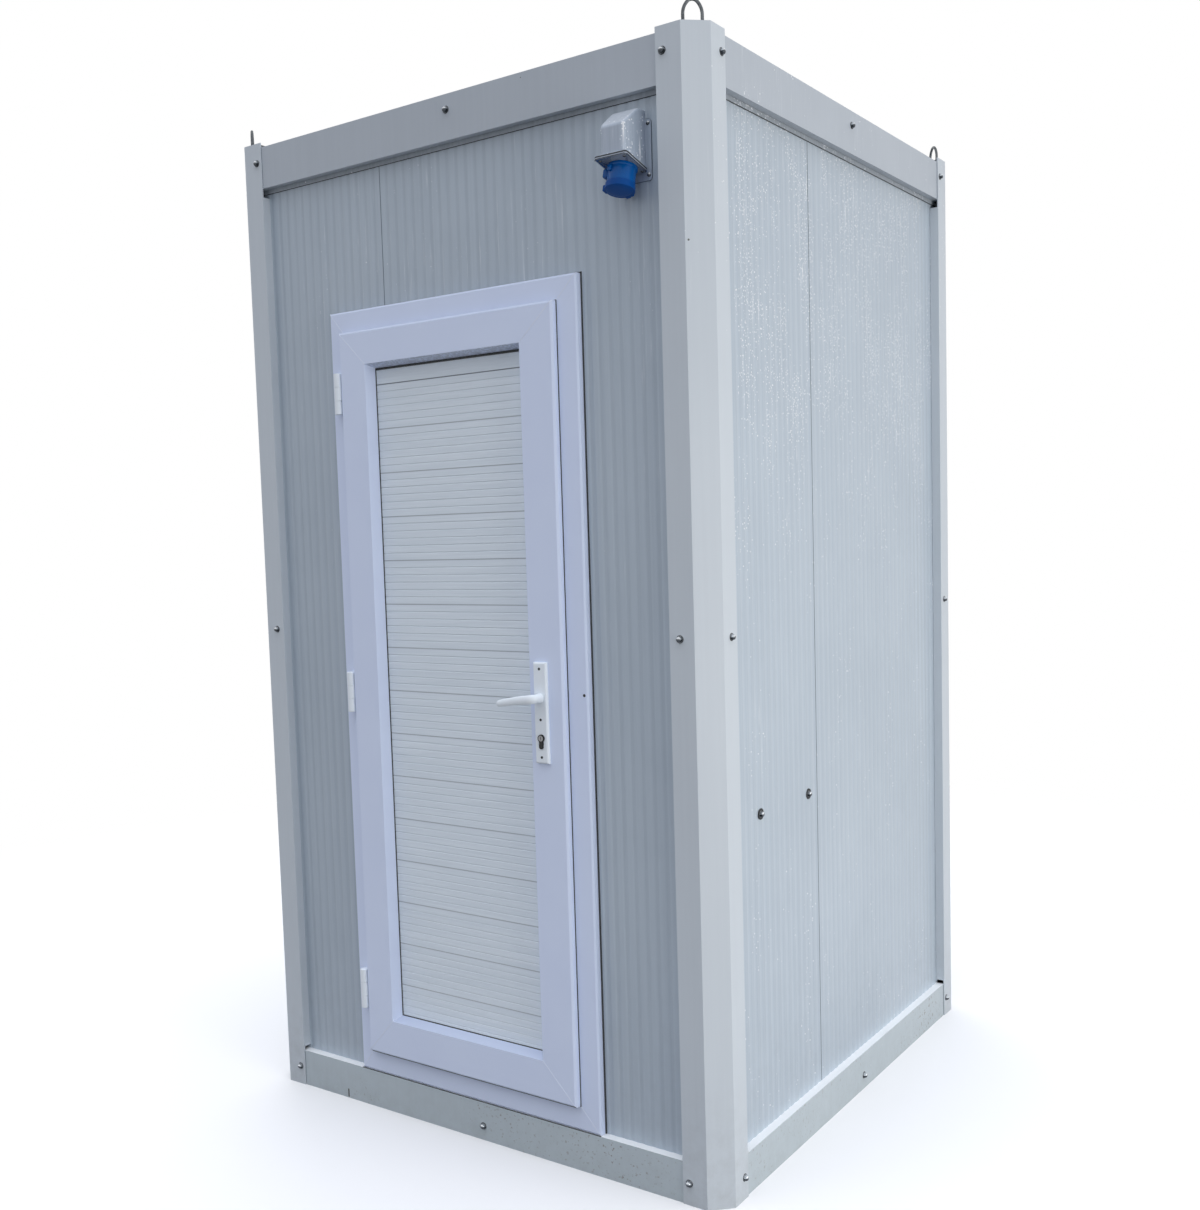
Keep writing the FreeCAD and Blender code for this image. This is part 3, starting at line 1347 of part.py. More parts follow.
def basin_waste():
    pipe = rod(Vec(bowl_middle, basin_centre_y, trap_low),
               Vec(bowl_middle, basin_centre_y, bowl_bottom), waste_radius)
    flange = rod(Vec(bowl_middle, basin_centre_y, bowl_bottom),
                 Vec(bowl_middle, basin_centre_y, bowl_bottom + waste_flange_thickness), waste_flange)
    trap = rod(Vec(bowl_middle, basin_centre_y, trap_low), Vec(bowl_middle, basin_centre_y, trap_high),
               trap_radius)
    outlet_z = trap_high - trap_outlet_radius - trap_outlet_drop
    outlet = rod(Vec(bowl_middle, basin_centre_y, outlet_z), Vec(room_x, basin_centre_y, outlet_z),
                 trap_outlet_radius)
    grate = [rod(Vec(bowl_middle + dx, basin_centre_y + dy, bowl_bottom - grate_depth),
                 Vec(bowl_middle + dx, basin_centre_y + dy, bowl_bottom + waste_flange_thickness + past),
                 grate_hole)
             for dx in (-grate_pitch, 0, grate_pitch) for dy in (-grate_pitch, 0, grate_pitch)]
    return pipe.fuse([flange, trap, outlet]).cut(grate)


save("basin_waste", basin_waste())
tap_x = room_x - basin_ledge / 2
tap_top = basin_height + tap_height


def tap_body():
    base = rod(Vec(tap_x, basin_centre_y, basin_height), Vec(tap_x, basin_centre_y, tap_top), tap_radius)
    spout_z = tap_top - tap_spout_drop
    tip = Vec(tap_x - tap_spout, basin_centre_y, spout_z + tap_spout_rise)
    spout = rod(Vec(tap_x, basin_centre_y, spout_z), tip, tap_spout_radius)
    nose_top = tip + X_AXIS * tap_nose_back
    nose = rod(nose_top, nose_top - Z_AXIS * tap_nose_length, tap_nose_radius)
    stub = rod(Vec(tap_x, basin_centre_y, tap_top), Vec(tap_x, basin_centre_y, tap_top + tap_stub_height),
               tap_stub_radius)
    return base.fuse([spout, nose, stub])


save("tap_body", tap_body())


def tap_lever():
    low = tap_top + tap_lever_gap
    high = low + tap_lever_height
    cap = rod(Vec(tap_x, basin_centre_y, low), Vec(tap_x, basin_centre_y, high), tap_lever_radius)
    bar = box((tap_x - tap_lever_length, tap_x),
              (basin_centre_y - tap_lever_half_width, basin_centre_y + tap_lever_half_width),
              (high - tap_lever_bar, high))
    bore = rod(Vec(tap_x, basin_centre_y, low - past),
               Vec(tap_x, basin_centre_y, tap_top + tap_stub_height + tap_lever_gap),
               tap_stub_radius + tap_turn_gap)
    return cap.fuse(bar).cut(bore)


save("tap_lever", tap_lever())


# Ceiling light: round base with a shallow dome below it
def ceiling_light():
    base_low = panel_top - light_base
    ball_radius = (light_radius ** 2 + light_dome ** 2) / (2 * light_dome)
    ball = Part.makeSphere(ball_radius, Vec(0, 0, base_low - light_dome + ball_radius))
    cap_space = rod(Vec(0, 0, base_low - light_dome - past), Vec(0, 0, base_low), light_radius + past)
    base = rod(Vec(0, 0, base_low), Vec(0, 0, panel_top), light_radius)
    return base.fuse(ball.common(cap_space))


save("ceiling_light", ceiling_light())

# Light switch by the door: a frame with a rocker that tips about its middle
switch_back = -room_y
switch_front = switch_back + switch_thickness
rocker_axis_y = switch_front - rocker_thickness / 2
half_rocker = rocker_size / 2
half_switch = switch_size / 2
recess = half_rocker + rocker_gap
rocker_pin_from = Vec(switch_x - half_rocker - rocker_pin_reach, rocker_axis_y, switch_height)
rocker_pin_to = Vec(switch_x + half_rocker + rocker_pin_reach, rocker_axis_y, switch_height)


def light_switch():
    frame = bevelled_block((switch_x - half_switch, switch_x + half_switch), (switch_back, switch_front),
                           (switch_height - half_switch, switch_height + half_switch), switch_bevel,
                           near=False)
    pocket = box((switch_x - recess, switch_x + recess), (switch_back + switch_floor, switch_front + past),
                 (switch_height - recess, switch_height + recess))
    bearing = rod(rocker_pin_from, rocker_pin_to, rocker_pin + rocker_pin_gap)
    return frame.cut([pocket, bearing])


def switch_rocker():
    plate = box((switch_x - half_rocker, switch_x + half_rocker),
                (rocker_axis_y - rocker_thickness / 2, rocker_axis_y + rocker_thickness / 2),
                (switch_height - half_rocker, switch_height + half_rocker))
    solid = plate.fuse(rod(rocker_pin_from + X_AXIS * rocker_pin_end_gap,
                           rocker_pin_to - X_AXIS * rocker_pin_end_gap,
                           rocker_pin))
    solid.rotate(Vec(switch_x, rocker_axis_y, switch_height), X_AXIS, rocker_tilt)
    return solid


save("light_switch", light_switch())
save("switch_rocker", switch_rocker())
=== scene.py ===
import math
from functools import partial
import bmesh
import bpy
from mathutils import Matrix, Vector


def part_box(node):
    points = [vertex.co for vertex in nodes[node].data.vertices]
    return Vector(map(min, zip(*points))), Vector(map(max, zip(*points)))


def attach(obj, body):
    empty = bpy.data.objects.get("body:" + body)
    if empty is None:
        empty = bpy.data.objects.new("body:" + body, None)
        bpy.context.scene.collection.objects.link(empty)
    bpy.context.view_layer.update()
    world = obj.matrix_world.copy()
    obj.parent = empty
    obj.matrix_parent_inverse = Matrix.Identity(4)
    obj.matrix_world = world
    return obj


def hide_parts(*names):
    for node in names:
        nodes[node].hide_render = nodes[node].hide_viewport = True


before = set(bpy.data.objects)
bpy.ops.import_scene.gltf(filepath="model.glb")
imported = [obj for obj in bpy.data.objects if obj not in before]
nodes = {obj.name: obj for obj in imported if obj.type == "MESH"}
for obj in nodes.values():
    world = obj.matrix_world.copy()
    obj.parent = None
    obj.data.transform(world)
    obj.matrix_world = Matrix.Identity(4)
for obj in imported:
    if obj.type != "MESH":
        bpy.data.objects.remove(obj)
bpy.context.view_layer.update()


# Camera: a phone held at 1.48 m, two metres to the right and some three in front of the cabin.
# The places and angles were solved from the cabin's edges in the 1200 x 1210 photograph.
def placed(name, data):
    """A new object in the scene, made of this data."""
    made = bpy.data.objects.new(name, data)
    bpy.context.scene.collection.objects.link(made)
    return made


def turned(degrees, axis):
    """A turn about one of the main axes."""
    return Matrix.Rotation(math.radians(degrees), 4, axis)


def moved(*place):
    """A move away from the origin."""
    return Matrix.Translation(place)


photo_long_side = 1210
camera_focal = 1315.30
camera_place = (2.0103, -3.1432, 1.4830)
camera_turn = Vector((-0.0894, 0.0059, 0.6310))
camera_data = bpy.data.cameras.new("camera")
camera_data.sensor_width = 36.0
camera_data.lens = camera_focal / photo_long_side * camera_data.sensor_width
camera_data.shift_x = 0.0501
camera_data.shift_y = 0.0277
camera = placed("camera", camera_data)
camera_aim = Matrix.Rotation(camera_turn.length, 4, camera_turn.normalized())
camera.matrix_world = moved(*camera_place) @ camera_aim @ turned(90, "X")
bpy.context.scene.camera = camera
bpy.context.scene.view_settings.view_transform = "Standard"


# Materials are built from nodes. Colours are written as sRGB codes, as a paint card gives them.
def linear(code):
    """The linear colour of an sRGB code."""
    channels = [int(code[start:start + 2], 16) / 255 for start in (0, 2, 4)]
    return [c / 12.92 if c <= 0.04045 else ((c + 0.055) / 1.055) ** 2.4 for c in channels] + [1.0]


def set_up(node, values):
    """Fill a node's settings and sockets; a value is plain, a colour code, or a node or socket to join.
    From and To each stand for two sockets, the least and the most."""
    for key, value in values.items():
        if key in ("From", "To"):
            set_up(node, {key + " Min": value[0], key + " Max": value[1]})
            continue
        if isinstance(value, bpy.types.Node):
            value = value.outputs[2 if value.bl_idname == "ShaderNodeMix" else 0]
        if isinstance(value, bpy.types.NodeSocket):
            node.id_data.links.new(value, node.inputs[key])
        elif isinstance(key, int) or key in node.inputs:
            node.inputs[key].default_value = linear(value) if isinstance(value, str) else value
        else:
            setattr(node, key, value)
    return node


def put(tree, kind, values):
    """Add a node to a tree and fill it. After its kind may come what it works out, or its kind of data."""
    kind, _, work = kind.partition(" ")
    node = tree.nodes.new("ShaderNode" + kind)
    if work:
        setattr(node, "data_type" if kind == "Mix" else "operation", work)
    return set_up(node, values)


# Light: an overcast sky, brighter overhead, and a large soft lamp on the right, where the photo's light is.
# The camera and mirrors see a plain white background.
sky_low = 0.44
sky_high = 0.90
sky_zenith = 1.3
sky_colour = "F4F7FF"
lamp_colour = "FFFCF6"
pure_white = {"Color": "FFFFFF", "Strength": 1.0}
world = bpy.data.worlds.new("overcast sky")
bpy.context.scene.world = world
world.use_nodes = True
world.node_tree.nodes.clear()
add = partial(put, world.node_tree)
height = add("SeparateXYZ", {0: add("TexCoord", {}).outputs["Generated"]}).outputs["Z"]
glow = add("MapRange", {"From": (-0.1, 0.9), "To": (sky_low, sky_high), "Value": height})
crown = add("MapRange", {"From": (0.6, 0.95), "To Max": sky_zenith, "Value": height})
glow = add("Math ADD", {0: glow, 1: crown})
sky = add("Background", {"Color": sky_colour, "Strength": glow})
white = add("Background", pure_white)
ray = add("LightPath", {})
seen = add("Math MAXIMUM", {0: ray.outputs["Is Camera Ray"], 1: ray.outputs["Is Glossy Ray"]})
seen = add("Math MAXIMUM", {0: seen, 1: ray.outputs["Is Transmission Ray"]})
add("OutputWorld", {"Surface": add("MixShader", {0: seen, 1: sky, 2: white})})


def soft_lamp(name, place, size, power):
    """A square soft lamp that faces the middle of the cabin."""
    data = bpy.data.lights.new(name, "AREA")
    data.shape = "SQUARE"
    data.size = size
    data.energy = power
    data.color = linear(lamp_colour)[:3]
    lamp = placed(name, data)
    lamp.visible_camera = False
    aim = Vector((0, 0, 1.2)) - Vector(place)
    lamp.matrix_world = moved(*place) @ aim.to_track_quat("-Z", "Y").to_matrix().to_4x4()


soft_lamp("lamp_right", (4.2, -0.7, 0.5), 3.0, 110.0)
soft_lamp("lamp_back_left", (-6.0, 5.0, 3.0), 4.0, 90.0)


# Studio floor: a pale plane that fades to white far from the cabin and keeps its shadow near it.
# Light that bounces off it is weaker than it looks, as from the gravel under the real cabin.
def start(kind, **settings):
    """Add a plain shape with nothing else selected, and put its place into its mesh."""
    bpy.ops.object.select_all(action="DESELECT")
    getattr(bpy.ops.mesh, "primitive_%s_add" % kind)(**settings)
    bpy.ops.object.transform_apply(location=True, rotation=True, scale=True)
    return bpy.context.active_object


def new_material(name):
    """A material, what adds a node to it, its main shader, and its object coordinates."""
    material = bpy.data.materials.new(name)
    material.use_nodes = True
    add = partial(put, material.node_tree)
    return material, add, material.node_tree.nodes["Principled BSDF"], add("TexCoord", {}).outputs["Object"]


floor_size = 60.0
fade_start = 1.2
fade_end = 4.0
floor = start("plane", size=floor_size)
floor.name = "studio_floor"
floor_paint, add, matt, place = new_material("pale matt floor")
far = add("VectorMath LENGTH", {0: place}).outputs["Value"]
fade = add("MapRange", {"interpolation_type": "SMOOTHSTEP", "From": (fade_start, fade_end), "Value": far})
ray = add("LightPath", {})
seen = add("Math MAXIMUM", {0: ray.outputs["Is Camera Ray"], 1: ray.outputs["Is Glossy Ray"]})
fade = add("Math MULTIPLY", {0: fade, 1: seen})
paint = add("Mix RGBA", {0: ray.outputs["Is Diffuse Ray"], 6: "F6F6F6", 7: "6E6E6E"})
set_up(matt, {"Roughness": 0.9, "Specular IOR Level": 0.1, "Base Color": paint})
both = add("MixShader", {0: fade, 1: matt, 2: add("Emission", pure_white)})
set_up(floor_paint.node_tree.nodes["Material Output"], {"Surface": both})
floor.data.materials.append(floor_paint)


# Painted sheet: zinc-coated steel with a satin grey-white paint, from the folding shop or the coil line.
# It is a little cloudy in tone, has rain streaks and drops, and gathers grime near the ground.
def normal_of(add):
    """The way the surface faces, taken apart."""
    return add("SeparateXYZ", {0: add("TexCoord", {}).outputs["Normal"]})


def shade_below(add, place, facing, share):
    """The share of painted shade, broken into wet patches, on faces that look down; facing is the upward part
    of the normal.
    """
    downward = add("MapRange", {"From": (-0.5, -0.9), "To Max": share, "Value": facing})
    wet = add("TexNoise", {"Scale": 150.0, "Detail": 3.0, "Vector": place})
    wet = add("MapRange", {"From": (0.62, 0.45), "Value": wet})
    return add("Math MULTIPLY", {0: downward, 1: wet})


def layered(add, colour, overlays):
    """The colour under layers of dirt, rain, painted shade and painted sheen, each with its share and colour,
    lowest first.
    """
    for share, code in overlays:
        colour = add("Mix RGBA", {0: share, 6: colour, 7: code})
    return colour


def span(node, axis):
    """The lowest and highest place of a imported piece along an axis."""
    low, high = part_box(node)
    return getattr(low, axis), getattr(high, axis)


underside_shade_grey = "4C5056"
panel_face_x = span("right_panel_front", "x")[1]
panel_face_y = span("back_panel_left", "y")[1]
rib_depth = 0.001
drain_x = -0.430
drain_z = 0.0135
drain_half_width = 0.0022
drain_half_height = 0.011
drain_face_y = -0.7365


def painted_sheet(name, code, shade_code, roughness, streaks, grime, grime_top, drops, rib_shade=0.0,
                  top_sheen=0.0, under=0.0, rust=0.0):
    """Paint with clouds 0.4 m across, streaks 8 mm wide, grime up to grime_top, and drops and runs of rain.
    The three arguments after drops set painted shade in the 1 mm deep ribs of the front and back walls, with
    painted light in those of the side walls; a painted sheen of wet light on faces that look up; and painted
    shade on those that look down. rust is how many brown spots show."""
    material, add, shader, place = new_material(name)
    apart = add("SeparateXYZ", {0: place})
    height = apart.outputs["Z"]
    normal = normal_of(add)
    facing = normal.outputs["Z"]
    sideways = add("Math ABSOLUTE", {0: normal.outputs["X"]})
    cloud = add("TexNoise", {"Scale": 2.4, "Detail": 5.0, "Roughness": 0.6, "Vector": place})
    tall = add("Mapping", {"Scale": (120.0, 120.0, 1.6), "Vector": place})
    streak = add("TexNoise", {"Scale": 1.0, "Detail": 3.0, "Vector": tall})
    streak = add("MapRange", {"From": (0.38, 0.62), "To Max": streaks, "Value": streak})
    tone = add("Math MULTIPLY_ADD", {0: cloud, 1: 0.75, 2: streak})
    if rib_shade:
        depths = []
        for axis, face in (("X", panel_face_x), ("Y", panel_face_y)):
            away = add("Math ABSOLUTE", {0: apart.outputs[axis]})
            depths.append(add("Math SUBTRACT", {0: away, 1: face - rib_depth}))
        crest = add("Math MAXIMUM", {0: depths[0], 1: depths[1]})
        # Painted shade in the ribs of the front and back walls; the negative share on the side walls makes it
        # painted light
        valley_shade = add("MapRange", {"From": (rib_depth, 0.0), "To Max": rib_shade, "Value": crest})
        fronts = add("Math MULTIPLY_ADD", {0: sideways, 1: -1.7, 2: 1.0})
        valley_shade = add("Math MULTIPLY", {0: valley_shade, 1: fronts})
        tone = add("Math ADD", {"use_clamp": True, 0: tone, 1: valley_shade})
    colour = add("Mix RGBA", {0: tone, 6: code, 7: shade_code})
    low = add("MapRange", {"From": (grime_top, 0.0), "To Max": grime, "Value": height})
    patch = add("TexNoise", {"Scale": 26.0, "Detail": 6.0, "Roughness": 0.7, "Vector": place})
    patch = add("MapRange", {"From": (0.42, 0.72), "Value": patch})
    dirty = add("Math MULTIPLY", {0: low, 1: patch})
    overlays = [(dirty, "6E6A60")]
    if rust:
        spots = add("TexNoise", {"Scale": 110.0, "Detail": 3.0, "Roughness": 0.6, "Vector": place})
        spots = add("MapRange", {"From": (0.60, 0.68), "To Max": rust, "Value": spots})
        where = add("TexNoise", {"Scale": 3.1, "Detail": 2.0, "Vector": place})
        where = add("MapRange", {"From": (0.46, 0.62), "Value": where})
        spots = add("Math MULTIPLY", {0: spots, 1: where})
        # The drain slit in the front beam is not cut: its opening is painted shade, a dark upright mark 22 mm
        # high, left of the door
        slit = add("Math COMPARE", {0: apart.outputs["X"], 1: drain_x, 2: drain_half_width})
        upright = add("Math COMPARE", {0: height, 1: drain_z, 2: drain_half_height})
        front = add("Math LESS_THAN", {0: apart.outputs["Y"], 1: drain_face_y})
        for part in (upright, front):
            slit = add("Math MULTIPLY", {0: slit, 1: part})
        overlays += [(spots, "6B5A4A"), (slit, "38302A")]
    # Painted sheen: faces that look up are lightened towards near white, as wet tops catching the sky's light
    upward = add("MapRange", {"From": (0.5, 0.9), "To Max": top_sheen, "Value": facing})
    speck = add("TexVoronoi", {"Scale": 34.0, "Vector": place})
    dot = add("Math LESS_THAN", {0: speck.outputs["Distance"], 1: 0.075})
    rare = add("Math LESS_THAN", {0: speck.outputs["Color"], 1: 0.10})
    dot = add("Math MULTIPLY", {0: dot, 1: rare})
    overlays += [(upward, "F4F7F9"), (shade_below(add, place, facing, under), underside_shade_grey), (dot, "5E625F")]
    # Raindrops are 2 to 3 mm across, drawn at 4 mm so that they show, most of them high and on the sides
    rain = add("TexVoronoi", {"Scale": 150.0, "Vector": place})
    bead = add("MapRange", {"From": (0.34, 0.20), "Value": rain.outputs["Distance"]})
    tall = add("Mapping", {"Scale": (9.0, 9.0, 3.0), "Vector": place})
    area = add("TexNoise", {"Scale": 1.0, "Detail": 5.0, "Roughness": 0.65, "Vector": tall})
    area = add("MapRange", {"From": (0.42, 0.62), "Value": area})
    upper = add("MapRange", {"From": (1.35, 2.0), "To Min": 0.24, "Value": height})
    windward = add("Math MULTIPLY_ADD", {0: sideways, 1: 0.85, 2: 0.15})
    limits = [upper, drops, windward]
    if rib_shade:
        limits.append(add("Math GREATER_THAN", {0: crest, 1: -0.005}))
    for limit in limits:
        area = add("Math MULTIPLY", {0: area, 1: limit})
    kept = add("Math LESS_THAN", {0: rain.outputs["Color"], 1: area})
    bead = add("Math MULTIPLY", {0: bead, 1: kept})
    long = add("Mapping", {"Scale": (170.0, 170.0, 9.0), "Vector": place})
    runs = add("TexNoise", {"Scale": 1.0, "Detail": 4.0, "Vector": long})
    runs = add("MapRange", {"From": (0.60, 0.74), "Value": runs})
    runs = add("Math MULTIPLY", {0: runs, 1: area})
    bead = add("Math MAXIMUM", {0: bead, 1: runs})
    # The drops and runs are lightened towards white: a painted glint of the sky on the water
    overlays.append((add("Math MULTIPLY", {0: bead, 1: 0.82}), "FAFCFF"))
    dull = add("Math MULTIPLY_ADD", {0: cloud, 1: 0.16, 2: roughness - 0.08})
    dull = add("Math MULTIPLY_ADD", {0: dirty, 1: 0.5, 2: dull})
    peel = add("TexNoise", {"Scale": 420.0, "Detail": 2.0, "Vector": place})
    skin = add("Bump", {"Strength": 0.12, "Distance": 0.0002, "Height": peel})
    raised = add("Bump", {"Strength": 0.6, "Distance": 0.0008, "Height": bead, "Normal": skin})
    set_up(shader, {"Base Color": layered(add, colour, overlays), "Roughness": dull, "Normal": raised})
    return material


# Floor beams: four C beams, folded from 3 mm sheet and bolted behind the posts' flanges.
# Their satin paint is grimy and has rust spots, and their tops carry a painted sheen of wet light.
def select_only(piece):
    """Make a piece the active one, with nothing else selected."""
    bpy.ops.object.select_all(action="DESELECT")
    piece.select_set(True)
    bpy.context.view_layer.objects.active = piece


def shaped(piece, kind, **settings):
    """The active piece with a modifier set and applied."""
    modifier = piece.modifiers.new(kind, kind)
    for key, value in settings.items():
        setattr(modifier, key, value)
    bpy.ops.object.modifier_apply(modifier=modifier.name)
    return piece


def edit(action="SELECT"):
    """Open the active piece for editing, with all of it selected, or none."""
    bpy.ops.object.mode_set(mode="EDIT")
    bpy.ops.mesh.select_all(action=action)


def end_edit():
    """Close the active piece's mesh."""
    bpy.ops.object.mode_set(mode="OBJECT")


def finish_piece(piece, name, material, body="cabin", replaced=(), smooth=35):
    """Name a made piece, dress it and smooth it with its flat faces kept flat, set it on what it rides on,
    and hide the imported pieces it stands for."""
    piece.name = name
    piece.data.name = name
    piece.data.materials.clear()
    piece.data.materials.append(material)
    select_only(piece)
    bpy.ops.object.shade_smooth_by_angle(angle=math.radians(smooth))
    shaped(piece, "WEIGHTED_NORMAL", keep_sharp=True)
    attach(piece, body)
    if replaced:
        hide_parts(*replaced)


def soften(node, name, radius, material, body="cabin", segments=2, smooth=35):
    """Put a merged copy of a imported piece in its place, its edges rounded as in folding or moulding."""
    piece = placed(node + "_soft", nodes[node].data.copy())
    select_only(piece)
    if piece.data.has_custom_normals:
        bpy.ops.mesh.customdata_custom_splitnormals_clear()
    edit()
    bpy.ops.mesh.remove_doubles(threshold=0.00001)
    bpy.ops.mesh.dissolve_limited(angle_limit=math.radians(0.4))
    end_edit()
    shaped(piece, "BEVEL", width=radius, segments=segments, limit_method="ANGLE",
           angle_limit=math.radians(30))
    finish_piece(piece, name, material, body, [node], smooth)


fold_radius = 0.0014
sides = ("front", "back", "right", "left")
floor_beam_paint = painted_sheet("satin paint with road grime", "C2CDD3", "B6C1C8", 0.46, 0.12, 0.14, 0.12,
                                 0.6, top_sheen=1.0, rust=0.8)
for side in sides:
    soften("floor_beam_" + side, "painted_floor_beam_" + side, fold_radius, floor_beam_paint)


def bare_metal(name, code, dark_code, roughness, spangle, metallic=1.0, painted_mirror=False):
    """Metal with a crystal or tooling pattern; spangle is the number of its cells in a metre. A metal may
    take
    a painted reflection: bright where it looks up to the sky and dark where it looks down to the ground."""
    material, add, shader, place = new_material(name)
    cells = add("TexVoronoi", {"Scale": spangle, "Vector": place})
    tone = add("SeparateColor", {0: cells.outputs["Color"]})
    cloud = add("TexNoise", {"Scale": 60.0, "Detail": 4.0, "Vector": place})
    tone = add("Math MULTIPLY", {0: tone, 1: cloud})
    colour = add("Mix RGBA", {0: tone, 6: code, 7: dark_code})
    if painted_mirror:
        facing = normal_of(add).outputs["Z"]
        painted_sky_reflection = add("MapRange", {"From": (0.06, 0.36), "Value": facing})
        painted_ground_reflection = add("MapRange", {"From": (0.10, -0.2), "Value": facing})
        colour = layered(add, colour, [(painted_sky_reflection, "DCE1E6"), (painted_ground_reflection, "44484D")])
    rough = add("Math MULTIPLY_ADD", {0: tone, 1: 0.3, 2: roughness - 0.08})
    bump = add("Bump", {"Strength": 0.15, "Distance": 0.0002, "Height": cloud})
    set_up(shader, {"Base Color": colour, "Metallic": metallic, "Roughness": rough, "Normal": bump})
    return material


# Floor joists: steel sections, hot-dip galvanised and bolted between the beams.
# The zinc is dull and grey, with crystals some 8 mm across.
def dress(material, *names):
    """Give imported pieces, whose shape is right as it is, their real material."""
    for name in names:
        for slot in nodes[name].material_slots:
            slot.material = material


galvanised = bare_metal("hot-dip galvanised steel", "8A8F94", "5C6166", 0.48, 120.0, 0.85)
dress(galvanised, "floor_joists")

# Floor board: birch plywood screwed down on the joists and seen only at its edges.
# Its thin layers are light and dark, with a long wavy grain.
plywood, add, shader, place = new_material("birch plywood")
layers = add("TexWave", {"bands_direction": "Z", "Scale": 120.0, "Distortion": 1.2, "Vector": place})
colour = add("Mix RGBA", {0: layers, 6: "B99468", 7: "8A6642"})
set_up(shader, {"Base Color": colour, "Roughness": 0.7})
dress(plywood, "floor_board")

# Floor covering: a sheet of grey safety vinyl, glued down on the board.
# Fine dark and light grit, some 3 mm apart, stands a little proud of it.
vinyl, add, shader, place = new_material("safety vinyl")
grit = add("TexVoronoi", {"Scale": 320.0, "Vector": place})
tone = add("SeparateColor", {0: grit.outputs["Color"]}).outputs[1]
tone = add("MapRange", {"From": (0.55, 1.0), "Value": tone})
colour = add("Mix RGBA", {0: tone, 6: "8E9598", 7: "C9CDCE"})
bump = add("Bump", {"Strength": 0.3, "Distance": 0.0003, "Height": grit.outputs["Distance"]})
set_up(shader, {"Base Color": colour, "Roughness": 0.55, "Normal": bump})
dress(vinyl, "floor_covering")

# Corner posts and roof beams: folded from 3 mm sheet, the posts with corners at 45 degrees, and painted.
# The beams stand behind the posts' flanges and are bolted to them.
post_paint = painted_sheet("satin paint on folded steel", "CDD5DC", "C1C9D1", 0.42, 0.10, 0.18, 0.3, 0.16)
# The roof beams' paint is a darker copy of the posts' grey, as painted shade where less light reaches the
# roof line; their undersides get painted shade too
roof_beam_paint_shaded = painted_sheet("satin paint on roof beams", "BAC2CB", "ADB5BE", 0.42, 0.12, 0.1, 0.2, 0.30,
                                under=0.12)
for corner in ("front_right", "front_left", "back_right", "back_left"):
    soften("post_" + corner, "painted_post_" + corner, fold_radius, post_paint)
for side in sides:
    soften("roof_beam_" + side, "painted_roof_beam_" + side, fold_radius, roof_beam_paint_shaded)

# Lifting eyes: round bar bent to an arch and welded on a plate in each roof corner.
# The zinc on them has weathered to a blotchy dark grey.
eye_steel = bare_metal("weathered galvanised bar", "6E7276", "45494D", 0.5, 160.0, 0.8)
dress(eye_steel, "lifting_eyes")
eye_centre_x = 0.65836
eye_centre_y = 0.70336
eye_leg = 0.0145
eye_plate_top = 2.495


def set_copies(piece, places, name, material, body="cabin", smooth=60):
    """Finish copies of one modelled piece, each set down at its own place, as one mesh."""
    shape = bmesh.new()
    for place in places:
        copy = piece.data.copy()
        copy.transform(place)
        shape.from_mesh(copy)
        bpy.data.meshes.remove(copy)
    shape.to_mesh(piece.data)
    shape.free()
    finish_piece(piece, name, material, body, smooth=smooth)


# Weld beads round the feet of the eyes: rings of filler metal, laid by hand.
# They are lumpy and galvanised with the plate.
bead = start("torus", major_radius=0.0042, minor_radius=0.0018, major_segments=28, minor_segments=8)
lumps = bpy.data.textures.new("weld lumps", "CLOUDS")
lumps.noise_scale = 0.002
shaped(bead, "DISPLACE", texture=lumps, strength=0.0012)
feet = [moved(x_side * (eye_centre_x + leg * eye_leg), y_side * (eye_centre_y - leg * eye_leg), eye_plate_top)
        for x_side in (-1, 1) for y_side in (-1, 1) for leg in (-1, 1)]
set_copies(bead, feet, "eye_weld_beads", galvanised)

# Wall panels: micro-ribbed coil-coated sheet on foam, joined by tongue and groove; the roof's ribs are high.
# The coat is satin, with rain on the outside; its ribs carry painted shade on the front and back walls and
# painted light on the side walls.
panel_paint = painted_sheet("polyester coat on ribbed sheet", "BCC8D3", "A3AFBB", 0.34, 0.12, 0.10, 0.5, 1.2,
                            rib_shade=0.26)
roof_paint = painted_sheet("polyester coat on roof sheet", "BEC6CC", "AEB6BC", 0.5, 0.3, 0.1, 0.2, 0.8)
dress(panel_paint, "front_panel_left", "front_panel_right", "back_panel_left", "back_panel_right",
      "right_panel_front", "right_panel_back", "left_panel_front", "left_panel_back")
dress(roof_paint, "roof_panel")


# Rubber of the seals: black, extruded by the metre and pressed into the joints.
# It is dull and a little dusty.
def moulded(name, code, shade_code, roughness, grain, depth, coat=0.0, under=0.0, dust=0.0, specular=0.5):
    """A moulded or extruded plastic, or rubber: grain is the number of its marks in a metre, depth their
    height, under how much painted shade darkens the faces that look down, and dust how grey those are that
    look up."""
    material, add, shader, place = new_material(name)
    cloud = add("TexNoise", {"Scale": 7.0, "Detail": 5.0, "Vector": place})
    colour = add("Mix RGBA", {0: cloud, 6: code, 7: shade_code})
    if under:
        facing = normal_of(add).outputs["Z"]
        upward = add("MapRange", {"From": (0.5, 0.9), "To Max": dust, "Value": facing})
        colour = layered(add, colour, [(shade_below(add, place, facing, under), underside_shade_grey), (upward, "8E99B0")])
    marks = add("TexNoise", {"Scale": grain, "Detail": 3.0, "Vector": place})
    rough = add("Math MULTIPLY_ADD", {0: marks, 1: 0.12, 2: roughness - 0.06})
    bump = add("Bump", {"Strength": 0.25, "Distance": depth, "Height": marks})
    set_up(shader, {"Base Color": colour, "Roughness": rough, "Normal": bump, "IOR": 1.5, "Coat Weight": coat,
                    "Coat Roughness": 0.08, "Specular IOR Level": specular})
    return material


seal_rubber = moulded("black sealing rubber", "25272A", "34373A", 0.72, 500.0, 0.0002)
